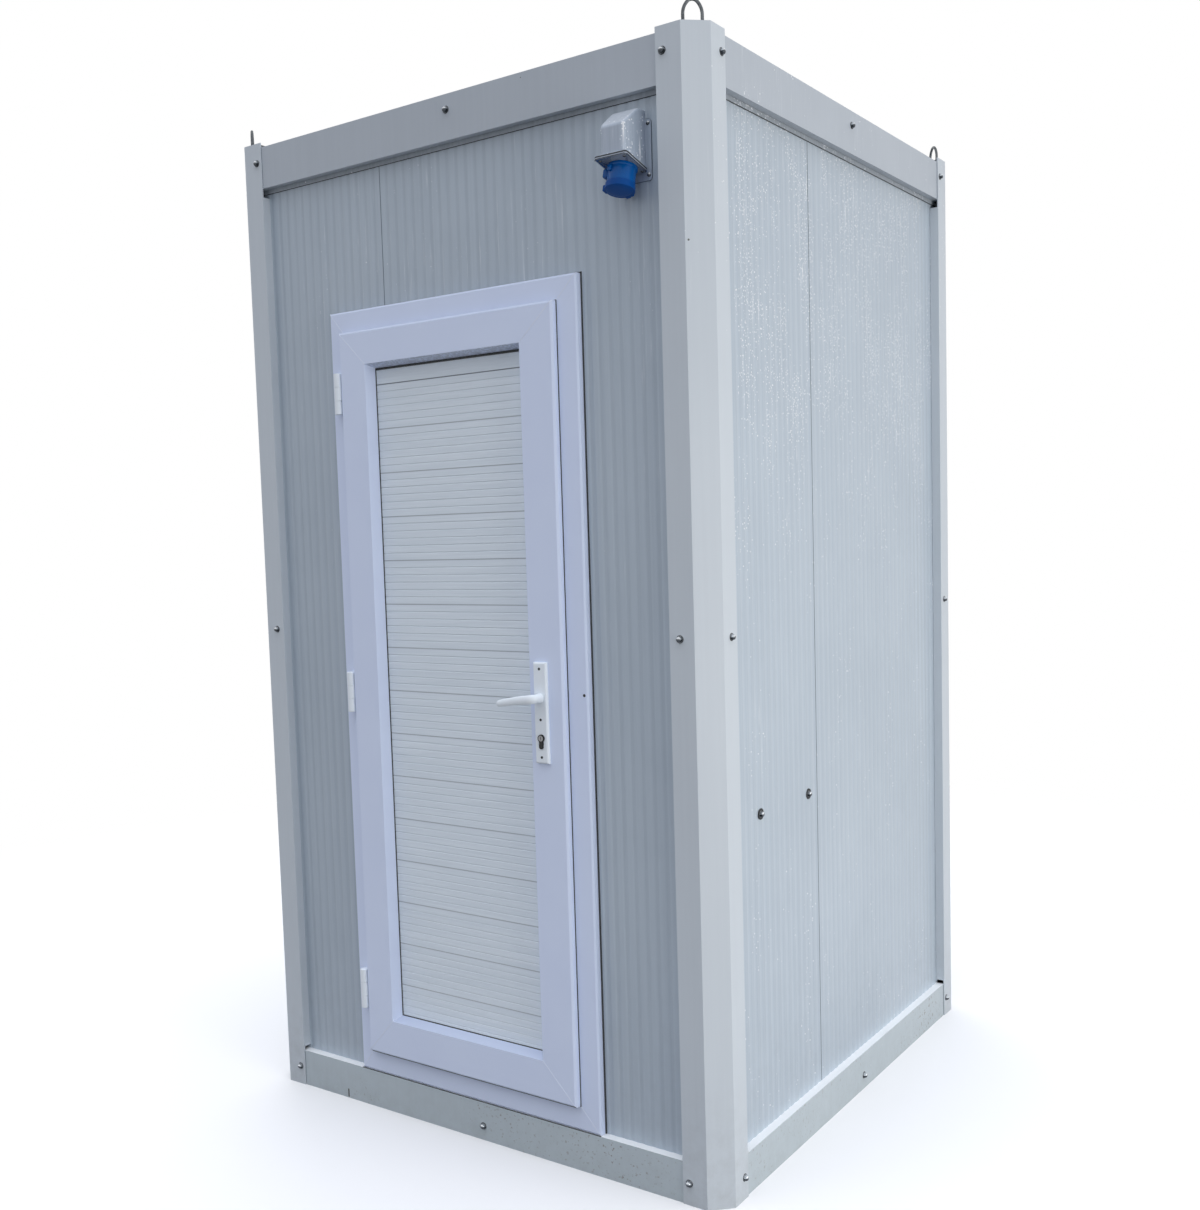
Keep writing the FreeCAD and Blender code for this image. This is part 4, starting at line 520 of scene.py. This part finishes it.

# Frame bolts: zinc-plated hexagon heads on washers, each on a black rubber sealing ring.
# The zinc is dark and shiny, with a painted reflection: bright where it faces the sky and dark where it faces
# the ground.
zinc = bare_metal("weathered zinc plating", "757A80", "44484E", 0.30, 700.0, painted_mirror=True)
soften("frame_bolts", "zinc_frame_bolts", 0.0008, zinc)
soften("basin_bolts", "zinc_basin_bolts", 0.0008, zinc)
flange_end_x, post_face_x = span("post_back_right", "x")
flange_end_y, post_face_y = span("post_back_right", "y")
beam_face_x = span("roof_beam_right", "x")[1]
beam_face_y = span("roof_beam_back", "y")[1]
bolt_ends_z = (0.050, 2.450)
bolt_middle_z = 1.245
beam_bolts = [(0.028, 0.036), (0.028, 2.454)]
basin_bolts_y = (-0.494, -0.240)
basin_bolts_z = 0.829
bolt_end_x = 0.606
bolt_middle_x = 0.615
bolt_end_y = 0.651
bolt_middle_y = 0.660
outward = {(0, -1): turned(90, "X"), (0, 1): turned(-90, "X"),
           (1, 0): turned(90, "Y"), (-1, 0): turned(-90, "Y")}


def post_bolts(end, middle):
    """The places of the posts' bolts along one wall, and their heights."""
    return ([(side * end, z) for side in (-1, 1) for z in bolt_ends_z]
            + [(side * middle, bolt_middle_z) for side in (-1, 1)])


bolt_places = [moved(x, side * face, z) @ outward[0, side]
               for points, face in ((post_bolts(bolt_end_x, bolt_middle_x), post_face_y),
                                    (beam_bolts, beam_face_y))
               for x, z in points for side in (-1, 1)]
bolt_places += [moved(side * face, y, z) @ outward[side, 0]
                for points, face in ((post_bolts(bolt_end_y, bolt_middle_y), post_face_x),
                                     (beam_bolts, beam_face_x))
                for y, z in points for side in (-1, 1)]
seal = start("torus", major_radius=0.0078, minor_radius=0.0011, major_segments=24, minor_segments=8)
set_copies(seal, bolt_places, "bolt_seal_rings", seal_rubber)

# The basin's two bolts sit on wider rubber washers, which keep the rain out of the wall
basin_places = [moved(panel_face_x, y, basin_bolts_z) @ outward[1, 0] for y in basin_bolts_y]
wide_seal = start("torus", major_radius=0.0106, minor_radius=0.0026, major_segments=28, minor_segments=8)
set_copies(wide_seal, basin_places, "basin_bolt_washers", seal_rubber)


# Each hexagon head has a crowned top, whose upper half takes the painted reflection of the sky
def flattened_dome(radius, height):
    """A shallow round cap, thickest in its middle, that stands up from the origin."""
    dome = start("uv_sphere", segments=28, ring_count=14, radius=radius)
    edit()
    bpy.ops.transform.resize(value=(1, 1, height / radius), center_override=(0, 0, 0))
    bpy.ops.mesh.bisect(plane_co=(0, 0, 0), plane_no=(0, 0, 1), use_fill=True, clear_inner=True)
    end_edit()
    return dome


head_height = 0.0060
crown_places = [place @ moved(0, 0, head_height) for place in bolt_places + basin_places]
set_copies(flattened_dome(0.0055, 0.0028), crown_places, "bolt_head_crowns", zinc)

# Door frame: white PVC window profile, mitred and welded at the corners, with a rebate for the leaf.
# The plastic is smooth, satin and a little blue, with grey dust where it lies flat and painted shade on faces
# that look down.
white_pvc = moulded("white PVC profile", "DEE9FF", "D6E1FA", 0.33, 300.0, 0.0001, under=0.3, dust=0.35)
pvc_edge = 0.0012
soften("door_frame", "welded_door_frame", pvc_edge, white_pvc)
frame_x = span("door_frame", "x")
frame_z = span("door_frame", "z")
frame_front = span("door_frame", "y")[0]
opening_x = (-0.316, 0.306)
opening_z = (0.170, 1.972)
frame_bevel = 0.004


def line_of(name, paths, radius, material, body="cabin"):
    """Thin round lines along open paths, for welds and seals; each path is a list of points."""
    curve = bpy.data.curves.new(name, "CURVE")
    curve.dimensions = "3D"
    curve.bevel_depth = radius
    curve.bevel_resolution = 2
    curve.use_fill_caps = True
    for path in paths:
        spline = curve.splines.new("POLY")
        spline.points.add(len(path) - 1)
        for point, place in zip(spline.points, path):
            point.co = (*place, 1.0)
    select_only(placed(name, curve))
    bpy.ops.object.convert(target="MESH")
    finish_piece(bpy.context.active_object, name, material, body, smooth=60)


def corner_lines(outer_x, outer_z, inner_x, inner_z, steps):
    """Mitre lines at four corners; steps give the share of the way inward and the depth of each point."""
    paths = []
    for a in (0, 1):
        for b in (0, 1):
            outer = Vector((outer_x[a], 0, outer_z[b]))
            inner = Vector((inner_x[a], 0, inner_z[b]))
            paths.append([outer.lerp(inner, share) + Vector((0, depth, 0)) for share, depth in steps])
    return paths


weld_line = moulded("pale weld line in PVC", "EAF0FD", "E2E9F8", 0.5, 200.0, 0.0001)
weld_radius = 0.0005
frame_steps = [(0.0, frame_front + frame_bevel), (0.07, frame_front), (0.94, frame_front),
               (1.0, frame_front + frame_bevel)]
line_of("frame_mitre_welds", corner_lines(frame_x, frame_z, opening_x, opening_z, frame_steps), weld_radius,
        weld_line)

# Seams between the wall panels: narrow joints from the floor beam to the roof beam.
# The paint looks darker in them, because they lie in shadow.
seam_shadow = moulded("shadowed joint in panel paint", "6F7A86", "606B77", 0.6, 300.0, 0.0001)
seam_top = 2.374
seam_low = 0.098
seams = [[(x, y, low), (x, y, seam_top)] for x, y, low in (
    (-0.204, -panel_face_y, frame_z[1] + 0.002), (0.0, panel_face_y, seam_low),
    (-panel_face_x, -0.190, seam_low), (panel_face_x, -0.190, seam_low))]
line_of("panel_seams", seams, 0.0009, seam_shadow)

# Sealing strips under the roof beams, where the panels go up behind them; the black line below them is
# painted shadow of the joint.
# They are soft grey foam, streaky and darker than the beams above.
strip_grey = painted_sheet("weathered grey sealing strip", "AEB6BE", "8E969E", 0.5, 0.3, 0.0, 0.1, 1.2)
strip_top = 2.3849
strip_low = 2.3745
strip_out = 0.0030
strip_end_x = 0.650
strip_end_y = 0.695
for name, half, face, angle in (
        ("front", strip_end_x, panel_face_y, 0), ("right", strip_end_y, panel_face_x, 90),
        ("back", strip_end_x, panel_face_y, 180), ("left", strip_end_y, panel_face_x, 270)):
    strip = start("cube", size=1.0, scale=(2 * half, strip_out, strip_top - strip_low),
                  location=(0, -face - strip_out / 2, (strip_top + strip_low) / 2))
    strip.data.transform(turned(angle, "Z"))
    shaped(strip, "BEVEL", width=0.0008)
    finish_piece(strip, "roof_beam_strip_" + name, strip_grey)
strip_x = panel_face_x + 0.0004
strip_y = panel_face_y + 0.0004
strips = [[(end, side * strip_y, strip_low) for end in (-strip_end_x, strip_end_x)] for side in (-1, 1)]
strips += [[(side * strip_x, end, strip_low) for end in (-strip_end_y, strip_end_y)] for side in (-1, 1)]
line_of("panel_top_shadow_lines", strips, 0.0013, seal_rubber)

# Joints where the posts' flanges lap the beams: tight, and painted over;
# the fine darker lines drawn along them are painted shadow in the joints.
lap_x = beam_face_x + 0.0002
lap_y = beam_face_y + 0.0002
laps = [[(x * out_x, y * out_y, low), (x * out_x, y * out_y, high)]
        for out_x, out_y in ((flange_end_x, lap_y), (lap_x, flange_end_y))
        for x in (-1, 1) for y in (-1, 1) for low, high in ((0.004, 0.092), (2.387, 2.488))]
line_of("beam_joint_lines", laps, 0.0006, seam_shadow)

# Trim of the door frame: a fixing screw's dark cap in the right jamb, a rubber seal round the frame whose
# black is also painted shadow of the gap at the wall, and a black line under its sill that is painted contact
# shadow.
cover_place = (0.3640, frame_front, 1.113)
cap_cover = start("uv_sphere", segments=20, ring_count=10, radius=0.0035, location=cover_place)
edit()
bpy.ops.transform.resize(value=(1, 0.35, 1), center_override=cover_place)
end_edit()
finish_piece(cap_cover, "frame_screw_cover", seal_rubber, smooth=60)
wall_seal_y = -0.7165
wall_seal_out = 0.0016
seal_left = frame_x[0] - wall_seal_out
seal_right = frame_x[1] + wall_seal_out
seal_top = frame_z[1] + wall_seal_out
wall_seal = [(x, wall_seal_y, z) for x, z in ((seal_left, frame_z[0]), (seal_left, seal_top),
                                              (seal_right, seal_top), (seal_right, frame_z[0]))]
line_of("frame_wall_seal", [wall_seal], 0.0022, seal_rubber)
line_of("frame_sill_shadow_line", [[(x, frame_front - 0.0002, frame_z[0]) for x in frame_x]], 0.0012, seal_rubber)

# Strike plate, lock case and bolts: stainless steel, let into the jamb and the leaf's edge.
# It is brushed, so that its shine is soft.
lock_steel = bare_metal("brushed stainless steel", "B7BABD", "8D9195", 0.30, 900.0)
dress(lock_steel, "strike_plate", "lock_case")
for bolt, body in (("latch_bolt", "latch"), ("dead_bolt", "dead_bolt")):
    soften(bolt, bolt + "_rounded", 0.0006, lock_steel, body)

# Door leaf: wider PVC profile that laps over the frame, mitred and welded at the corners,
# with a sloped edge round the infill.
soften("door_sash", "welded_door_leaf", pvc_edge, white_pvc, "door")
leaf_x = span("door_sash", "x")
leaf_z = span("door_sash", "z")
leaf_front = span("door_sash", "y")[0]
infill_front = span("door_infill", "y")[0]
light_x = (-0.245, 0.228)
light_z = (0.250, 1.903)
leaf_bevel = 0.005
slope_in = 0.010
leaf_steps = [(0.0, leaf_front + leaf_bevel), (0.058, leaf_front), (1.0, leaf_front)]
leaf_welds = corner_lines(leaf_x, leaf_z, light_x, light_z, leaf_steps)
slope_x = (light_x[0] + slope_in, light_x[1] - slope_in)
slope_z = (light_z[0] + slope_in, light_z[1] - slope_in)
leaf_welds += corner_lines(light_x, light_z, slope_x, slope_z, [(0.0, leaf_front), (1.0, infill_front)])
line_of("leaf_mitre_welds", leaf_welds, weld_radius, weld_line, "door")


def ring_of(x, z, y):
    """A closed rectangle of points at one depth."""
    return [(x[0], y, z[0]), (x[0], y, z[1]), (x[1], y, z[1]), (x[1], y, z[0]), (x[0], y, z[0])]


# Seals of the leaf: a black lip round its overlap, set out so that it also shows as painted shadow in the
# gap, and one round the infill;
# the black lines under the leaf and above the infill are painted shadow.
lap_out = 0.0008
lap_seal_y = -0.7366
bottom_shadow_y = -0.7480
bottom_shadow_in = 0.006
lap_ring = ring_of((leaf_x[0] - lap_out, leaf_x[1] + lap_out), (leaf_z[0] - lap_out, leaf_z[1] + lap_out),
                   lap_seal_y)
bottom_shadow_path = [(x, bottom_shadow_y, leaf_z[0] - 0.0002) for x in (leaf_x[0] + bottom_shadow_in, leaf_x[1] - bottom_shadow_in)]
infill_seal_y = infill_front - 0.0006
top_shadow_path = [(x, infill_seal_y, slope_z[1] - 0.0026) for x in slope_x]
for name, path, radius in (("leaf_lap_seal", lap_ring, 0.0013), ("leaf_bottom_shadow_line", bottom_shadow_path, 0.0014),
                           ("infill_seal", ring_of(slope_x, slope_z, infill_seal_y), 0.0016),
                           ("infill_top_shadow_line", top_shadow_path, 0.0022)):
    line_of(name, [path], radius, seal_rubber, "door")

# Infill: grooved PVC foam boards laid on each other and held by clipped beads.
# A fine wood grain is pressed along them, and they are nearly matt.
first_joint_z = 1.853
board_pitch = 0.108
board_plastic, add, shader, place = new_material("grained PVC foam board")
along = add("Mapping", {"Scale": (9.0, 60.0, 520.0), "Vector": place})
grain = add("TexNoise", {"Scale": 1.0, "Detail": 4.0, "Distortion": 0.6, "Vector": along})
wide = add("Mapping", {"Scale": (2.2, 10.0, 55.0), "Vector": place})
bands = add("TexNoise", {"Scale": 1.0, "Detail": 3.0, "Distortion": 1.0, "Vector": wide})
tone = add("Math MULTIPLY", {0: grain, 1: bands})
tone = add("MapRange", {"From": (0.12, 0.42), "Value": tone})
colour = add("Mix RGBA", {0: tone, 6: "DEE8F1", 7: "E9F2FA"})
# The pressed grooves hold dirt and shade on the street side, here more and there less
apart = add("SeparateXYZ", {0: place})
groove = add("MapRange", {"From": (-0.7239, -0.7231), "Value": apart.outputs["Y"]})
patchy = add("MapRange", {"From": (0.35, 0.65), "To": (0.08, 0.34), "Value": bands})
street_side = add("Math LESS_THAN", {0: apart.outputs["Y"], 1: -0.7150})
for share in (patchy, street_side):
    groove = add("Math MULTIPLY", {0: groove, 1: share})
# The joints between the boards are darker, the topmost above all
joint = add("Math SUBTRACT", {0: first_joint_z, 1: apart.outputs["Z"]})
joint = add("Math PINGPONG", {0: joint, 1: board_pitch / 2})
topmost = add("MapRange", {"From": (1.76, 1.84), "To": (0.52, 0.95), "Value": apart.outputs["Z"]})
joint = add("MapRange", {"From": (0.0017, 0.0009), "To Max": topmost, "Value": joint})
groove = add("Math MAXIMUM", {0: groove, 1: joint})
bump = add("Bump", {"Strength": 0.35, "Distance": 0.0005, "Height": grain})
wavy = add("Bump", {"Strength": 0.35, "Distance": 0.001, "Height": bands, "Normal": bump})
set_up(shader, {"Base Color": layered(add, colour, [(groove, "6C747C")]), "Roughness": 0.45, "Normal": wavy})
dress(board_plastic, "door_infill")
soften("infill_beads", "clipped_infill_beads", 0.0015, white_pvc, "door")

# Hinges: three of steel; two knuckles of each stand on the frame and one on the leaf.
# White powder coat gives them a satin skin with a fine orange peel.
white_coat = moulded("white powder coat", "F2F9FF", "E9F1F9", 0.36, 700.0, 0.00015)
hinge_x = sum(span("hinge_pins", "x")) / 2
hinge_y = sum(span("hinge_pins", "y")) / 2
hinge_middles = (0.319, 1.091, 1.838)
hinge_half = 0.050
soften("hinge_frame_leaves", "coated_hinge_frame_leaves", 0.0012, white_coat)
soften("hinge_door_leaves", "coated_hinge_door_leaves", 0.0008, white_coat, "door")
dress(lock_steel, "hinge_pins")
upside_down = turned(180, "X")
cap_places = []
for middle in hinge_middles:
    cap_places.append(moved(hinge_x, hinge_y, middle + hinge_half))
    cap_places.append(moved(hinge_x, hinge_y, middle - hinge_half) @ upside_down)
set_copies(flattened_dome(0.0106, 0.0014), cap_places, "hinge_end_caps", white_coat)

# Handle plates: long white plates with rounded edges, screwed through the leaf from both faces.
# The screws are blackened steel, with a round recess in the head.
lock_x = 0.261
handle_z = 1.1056
outer_plate_y = span("outer_handle_plate", "y")[0]
inner_plate_y = span("inner_handle_plate", "y")[1]
for name in ("outer_handle_plate", "inner_handle_plate"):
    soften(name, "rounded_" + name, 0.0015, white_coat, "door", 3)
dark_steel = bare_metal("blackened screw steel", "4A4C50", "2C2E31", 0.45, 900.0)
screw = start("cylinder", vertices=20, radius=0.0031, depth=0.0014)
edit("DESELECT")
shape = bmesh.from_edit_mesh(screw.data)
for face in shape.faces:
    face.select_set(abs(face.normal.z) > 0.9)
bpy.ops.mesh.inset(thickness=0.0012)
bpy.ops.mesh.extrude_region_shrink_fatten(TRANSFORM_OT_shrink_fatten={"value": -0.0005})
end_edit()
lie_front = turned(90, "X")
plate_screws_z = (1.172, 1.056, 0.970)
screw_places = [moved(lock_x, y, z) @ lie_front
                for y in (outer_plate_y, inner_plate_y) for z in plate_screws_z]
set_copies(screw, screw_places, "plate_screws", dark_steel, "door", smooth=50)


# Levers: cast aluminium with the same white powder coat, on one spindle through the leaf.
# A round neck turns into a flat grip that droops to its tip.
def sweep(rings, sides=20):
    """A bar drawn out from ring to ring; a ring is its centre, its facing, and its half width and height."""
    def frame_of(ring):
        centre, facing, half_width, half_height = ring
        turn = Vector(facing).to_track_quat("Z", "Y").to_matrix().to_4x4()
        return moved(*centre) @ turn @ Matrix.Diagonal((half_width, half_height, 1, 1))
    bar = start("circle", vertices=sides, radius=1.0, fill_type="NGON")
    edit()
    shape = bmesh.from_edit_mesh(bar.data)
    before = frame_of(rings[0])
    bmesh.ops.transform(shape, matrix=before, verts=shape.verts)
    for ring in rings[1:]:
        bpy.ops.mesh.extrude_region()
        shape = bmesh.from_edit_mesh(bar.data)
        after = frame_of(ring)
        drawn = [vertex for vertex in shape.verts if vertex.select]
        bmesh.ops.transform(shape, matrix=after @ before.inverted(), verts=drawn)
        before = after
    bpy.ops.mesh.select_all(action="SELECT")
    bpy.ops.mesh.normals_make_consistent(inside=False)
    end_edit()
    return bar


def subdivided(piece):
    """The piece with a subdivision surface applied."""
    return shaped(piece, "SUBSURF", levels=1, render_levels=1)


for name, face, out in (("outer_lever", outer_plate_y, -1), ("inner_lever", inner_plate_y, 1)):
    def at(x, distance, z):
        return (lock_x + x, face + out * distance, handle_z + z)

    neck = [(at(0, distance, 0), (0, out, 0), half_width, half_height)
            for distance, half_width, half_height in (
                (-0.009, 0.0088, 0.0088), (0.0005, 0.0088, 0.0088), (0.001, 0.0122, 0.0122),
                (0.004, 0.0118, 0.0118), (0.012, 0.0102, 0.0104))]
    elbow = [(at(-0.0005, 0.020, 0), (-0.2, out, 0), 0.0098, 0.0104),
             (at(-0.003, 0.0265, 0), (-0.6, out * 0.8, 0), 0.0088, 0.0108),
             (at(-0.009, 0.0305, -0.0005), (-1, out * 0.35, 0), 0.0070, 0.0108),
             (at(-0.018, 0.0315, -0.0015), (-1, out * 0.05, -0.05), 0.0058, 0.0104)]
    grip = [(at(x, 0.0315, z), (-1, 0, droop), half_width, half_height)
            for x, z, droop, half_width, half_height in (
                (-0.040, -0.004, -0.12, 0.0054, 0.0098), (-0.065, -0.0078, -0.16, 0.0052, 0.0092),
                (-0.088, -0.0120, -0.2, 0.0050, 0.0086), (-0.0965, -0.0137, -0.2, 0.0044, 0.0072),
                (-0.1000, -0.0144, -0.2, 0.0026, 0.0044))]
    finish_piece(subdivided(sweep(neck + elbow + grip)), "cast_" + name, white_coat,
                 "lever_set", [name], 50)

# Profile cylinder and inlet pins: nickel-plated brass, dark and shiny.
# The turned plugs with the key slots are brighter.
nickel = bare_metal("nickel-plated brass", "3A3B3C", "242526", 0.30, 900.0)
plug_metal = bare_metal("bright nickel plug", "8F9092", "66676A", 0.30, 900.0)
dress(nickel, "lock_cylinder")
dress(plug_metal, "cylinder_plugs")

# Supply housing: a hood over the cable hole, on a flat wall flange, with a darker line of painted shadow
# round the flange's edge.
# It is moulded of glossy light grey polyester and wet with rain, and its top carries a painted sheen.
housing_plastic = painted_sheet("glossy light grey moulding", "B6C0CE", "A2AEBD", 0.22, 0.6, 0.0, 0.1,
                                2.2, top_sheen=0.4)


def drawn_out(points, reach):
    """A flat outline drawn straight out by reach."""
    block = start("circle", vertices=len(points), radius=1.0, fill_type="NGON")
    for vertex, point in zip(block.data.vertices, points):
        vertex.co = point
    edit()
    bpy.ops.mesh.extrude_region_move(TRANSFORM_OT_translate={"value": reach})
    bpy.ops.mesh.select_all(action="SELECT")
    bpy.ops.mesh.normals_make_consistent(inside=False)
    end_edit()
    return block


def rounded(piece, radius, pick):
    """Round off the edges that pick chooses by their middle and direction."""
    select_only(piece)
    edit("DESELECT")
    shape = bmesh.from_edit_mesh(piece.data)
    for edge in shape.edges:
        ends = [vertex.co for vertex in edge.verts]
        if pick((ends[0] + ends[1]) / 2, (ends[1] - ends[0]).normalized()):
            edge.select_set(True)
    bpy.ops.mesh.bevel(offset=radius, segments=4, affect="EDGES")
    end_edit()


wall_y = -panel_face_y
housing_x = (0.478, 0.548)
housing_middle_x = 0.513
housing_front = span("inlet_housing", "y")[0]
hood_draft = 0.005
lip_angle = 15.0
lip_slope = math.tan(math.radians(lip_angle))
lip_front_z = 2.247
lip_back_z = lip_front_z - (wall_y - housing_front) * lip_slope
profile = [(wall_y, lip_back_z), (housing_front, lip_front_z), (housing_front, 2.310),
           (wall_y - 0.024, 2.350), (wall_y, 2.350)]
hood = drawn_out([(housing_x[0], y, z) for y, z in profile], (housing_x[1] - housing_x[0], 0, 0))
for vertex in hood.data.vertices:
    side = 1 if vertex.co.x < housing_middle_x else -1
    vertex.co.x += side * hood_draft * (wall_y - vertex.co.y) / (wall_y - housing_front)
rounded(hood, 0.011, lambda middle, way: abs(way.z) > 0.8 and middle.y < wall_y - 0.001)
rounded(hood, 0.006, lambda middle, way: abs(way.z) < 0.75 and middle.z > 2.300 and middle.y < wall_y - 0.001)
finish_piece(hood, "supply_housing_hood", housing_plastic,
             replaced=["inlet_housing"], smooth=50)
flange_x = span("inlet_housing", "x")
flange_z = (span("inlet_housing", "z")[0], 2.330)
plate = drawn_out([(flange_x[0], wall_y, flange_z[0]), (flange_x[1], wall_y, flange_z[0]),
                   (flange_x[1], wall_y, flange_z[1]), (flange_x[0], wall_y, flange_z[1])], (0, -0.002, 0))
rounded(plate, 0.006, lambda middle, way: abs(way.y) > 0.9)
finish_piece(plate, "supply_housing_flange", housing_plastic, smooth=50)
# The flange's painted shadow on the wall: a darker line round its edge
gasket = [(x, wall_y - 0.0006, z) for x, z in ((0.4700, 2.3306), (0.5568, 2.3306), (0.5626, 2.3245),
                                               (0.5626, 2.2105), (0.5568, 2.2044), (0.4700, 2.2044))]
line_of("housing_flange_shadow_line", [gasket], 0.0009, seam_shadow)

# Round-headed zinc screws at the corners of the housing's flange
flange_screws = [moved(x, wall_y - 0.002, z) @ lie_front for x in (0.470, 0.555) for z in (2.216, 2.3215)]
set_copies(flattened_dome(0.0046, 0.0030), flange_screws, "flange_screws", zinc)

# Inlet: a plug inlet moulded of bright blue polyamide, on the sloped lip of the housing.
# A grey clamping plate holds it, with a black gasket and four screws.
inlet_y = -0.7525
inlet_z = lip_front_z - (inlet_y - housing_front) * lip_slope
on_lip = moved(housing_middle_x, inlet_y, inlet_z) @ turned(-lip_angle, "X")
blue_plastic = moulded("blue polyamide", "005DAA", "004E94", 0.22, 400.0, 0.0002, coat=0.12, specular=0.15)
soften("inlet_socket", "moulded_inlet_socket", 0.0008, blue_plastic)
plate_half = 0.0395
plate_front = -0.0510
plate_back = 0.0350


def lip_plate(name, top, thickness, inset, material):
    """A flat plate with rounded corners on the lip, its top face at the height top above or below it."""
    half = plate_half - inset
    ends = (plate_front + inset, plate_back - inset)
    layer = drawn_out([(-half, ends[0], top), (half, ends[0], top),
                       (half, ends[1], top), (-half, ends[1], top)], (0, 0, -thickness))
    rounded(layer, 0.006, lambda middle, way: abs(way.z) > 0.9)
    layer.data.transform(on_lip)
    finish_piece(layer, name, material, smooth=50)


clamp_grey = moulded("grey moulded clamping plate", "A4AEBC", "97A2B1", 0.4, 300.0, 0.0001)
lip_plate("hood_rim_plate", 0.0040, 0.0020, 0.0, housing_plastic)
lip_plate("inlet_gasket", 0.0020, 0.0030, -0.0005, seal_rubber)
lip_plate("inlet_clamp_plate", -0.0010, 0.0030, -0.0002, clamp_grey)
corner_cut = 0.005
rim = [(x + cut_x, y + cut_y, -0.0041) for x, y, cut_x, cut_y in (
    (-plate_half, plate_front, 0, corner_cut), (-plate_half, plate_front, corner_cut, 0),
    (plate_half, plate_front, -corner_cut, 0), (plate_half, plate_front, 0, corner_cut),
    (plate_half, plate_back, 0, -corner_cut), (plate_half, plate_back, -corner_cut, 0))]
line_of("inlet_clamp_edge", [[tuple(on_lip @ Vector(point)) for point in rim]], 0.0008, seal_rubber)
plate_low = -0.0046
hanging = [on_lip @ moved(x, y, plate_low) @ upside_down
           for x in (-0.0295, 0.0295) for y in (-0.0405, 0.0300)]
set_copies(flattened_dome(0.0034, 0.0022), hanging, "clamp_screws", zinc)
collar_rings = [((0, 0, z), (0, 0, 1), radius, radius)
                for z, radius in ((plate_low, 0.0300), (plate_low, 0.0322),
                                  (-0.0090, 0.0322), (-0.0110, 0.0302))]
collar = sweep(collar_rings, 48)
collar.data.transform(on_lip)
finish_piece(collar, "inlet_collar", blue_plastic, smooth=40)
# Lugs moulded on the inlet: an ear for the cap's catch on its left, and a nub in front
for name, middle, size in (("ear", (-0.0300, -0.0080, -0.0185), (0.014, 0.020, 0.019)),
                           ("nub", (-0.0120, -0.0290, -0.0160), (0.010, 0.008, 0.014))):
    lug = start("cube", size=1.0, scale=size, location=middle)
    shaped(lug, "BEVEL", width=0.003, segments=3)
    lug.data.transform(on_lip)
    finish_piece(lug, "inlet_" + name, blue_plastic, smooth=60)
dress(nickel, "inlet_pins")

# Inlet cap: a hinged lid with a domed face, which covers the pins.
# Its blue is a darker copy of the inlet's, as painted shade on a lid that faces down, and it is duller.
shaded_blue_cap = moulded("dull blue polyamide", "044E98", "034084", 0.36, 400.0, 0.0002, specular=0.12)
soften("inlet_cap", "moulded_inlet_cap", 0.0010, shaded_blue_cap, "cap", 3)
face_dome = flattened_dome(0.0285, 0.0030)
face_dome.data.transform(on_lip @ moved(0, -0.0035, -0.0559) @ upside_down)
finish_piece(face_dome, "inlet_cap_dome", shaded_blue_cap, "cap", smooth=60)

# Ceiling light and switch, screwed to the panels: milky opal acrylic for the light,
# and smooth white moulded ABS for the switch.
opal = moulded("opal acrylic", "F2F3F0", "EAEBE8", 0.3, 200.0, 0.0001)
hard_white = moulded("white moulded ABS", "EDEFEF", "E2E5E6", 0.28, 300.0, 0.0001)
dress(opal, "ceiling_light")
for name, body in (("light_switch", "cabin"), ("switch_rocker", "rocker")):
    soften(name, "rounded_" + name, 0.0012, hard_white, body, 3)

# Toilet: glazed ceramic pan with a moulded tank; the moulded seat and lid turn on two hinge posts.
# The glaze shines as if wet, and the thermoset of the others is a little duller.
glaze = moulded("white glazed ceramic", "F3F5F4", "EDF0EF", 0.10, 30.0, 0.0002, coat=0.6)
seat_plastic = moulded("white thermoset seat", "F0F1F0", "E8EAE9", 0.22, 200.0, 0.0001)
soften("toilet_pan", "glazed_toilet_pan", 0.006, glaze, segments=3, smooth=45)
for name, body, radius in (("cistern", "cabin", 0.003), ("flush_button", "flush", 0.0015),
                           ("toilet_seat", "seat", 0.004), ("toilet_lid", "lid", 0.003)):
    soften(name, "moulded_" + name, radius, seat_plastic, body, 3, 45)

# Wash basin: glazed ceramic on two bolts through the wall, with waste and tap of plated brass.
# The chrome is a plain mirror.
soften("wash_basin", "glazed_wash_basin", 0.006, glaze, segments=3, smooth=45)
chrome = bare_metal("polished chrome plating", "E2E4E6", "C4C8CC", 0.10, 40.0)
soften("basin_waste", "chromed_basin_waste", 0.0015, chrome, segments=3, smooth=45)
tap_x = 0.6005
tap_y = -0.367
tap_top = 0.980
spout_start = Vector((tap_x, tap_y, tap_top - 0.020))
spout_tip = spout_start + Vector((-0.105, 0, 0.012))
body_rings = [((tap_x, tap_y, z), (0, 0, 1), radius, radius) for z, radius in (
    (0.920, 0.0215), (0.9205, 0.0245), (0.924, 0.0245), (0.926, 0.0215), (0.940, 0.0205),
    (0.972, 0.0205), (0.979, 0.0190), (tap_top, 0.0150), (tap_top + 0.008, 0.0058))]
finish_piece(subdivided(sweep(body_rings, 32)), "chromed_tap_body", chrome,
             replaced=["tap_body"], smooth=50)
spout_rings = [(spout_start, (-1, 0, 0.1), 0.010, 0.011),
               (spout_start.lerp(spout_tip, 0.5), (-1, 0, 0.15), 0.0095, 0.0095),
               (spout_start.lerp(spout_tip, 0.88), (-1, 0, 0.05), 0.0092, 0.0092),
               (spout_tip + Vector((0.002, 0, -0.001)), (-0.7, 0, -0.7), 0.0094, 0.0094),
               (spout_tip + Vector((0.001, 0, -0.012)), (-0.05, 0, -1), 0.0096, 0.0096),
               (spout_tip + Vector((0.001, 0, -0.024)), (0, 0, -1), 0.0098, 0.0098)]
finish_piece(subdivided(sweep(spout_rings, 24)), "chromed_tap_spout", chrome, smooth=50)
soften("tap_lever", "chromed_tap_lever", 0.002, chrome, "tap", 3, 45)
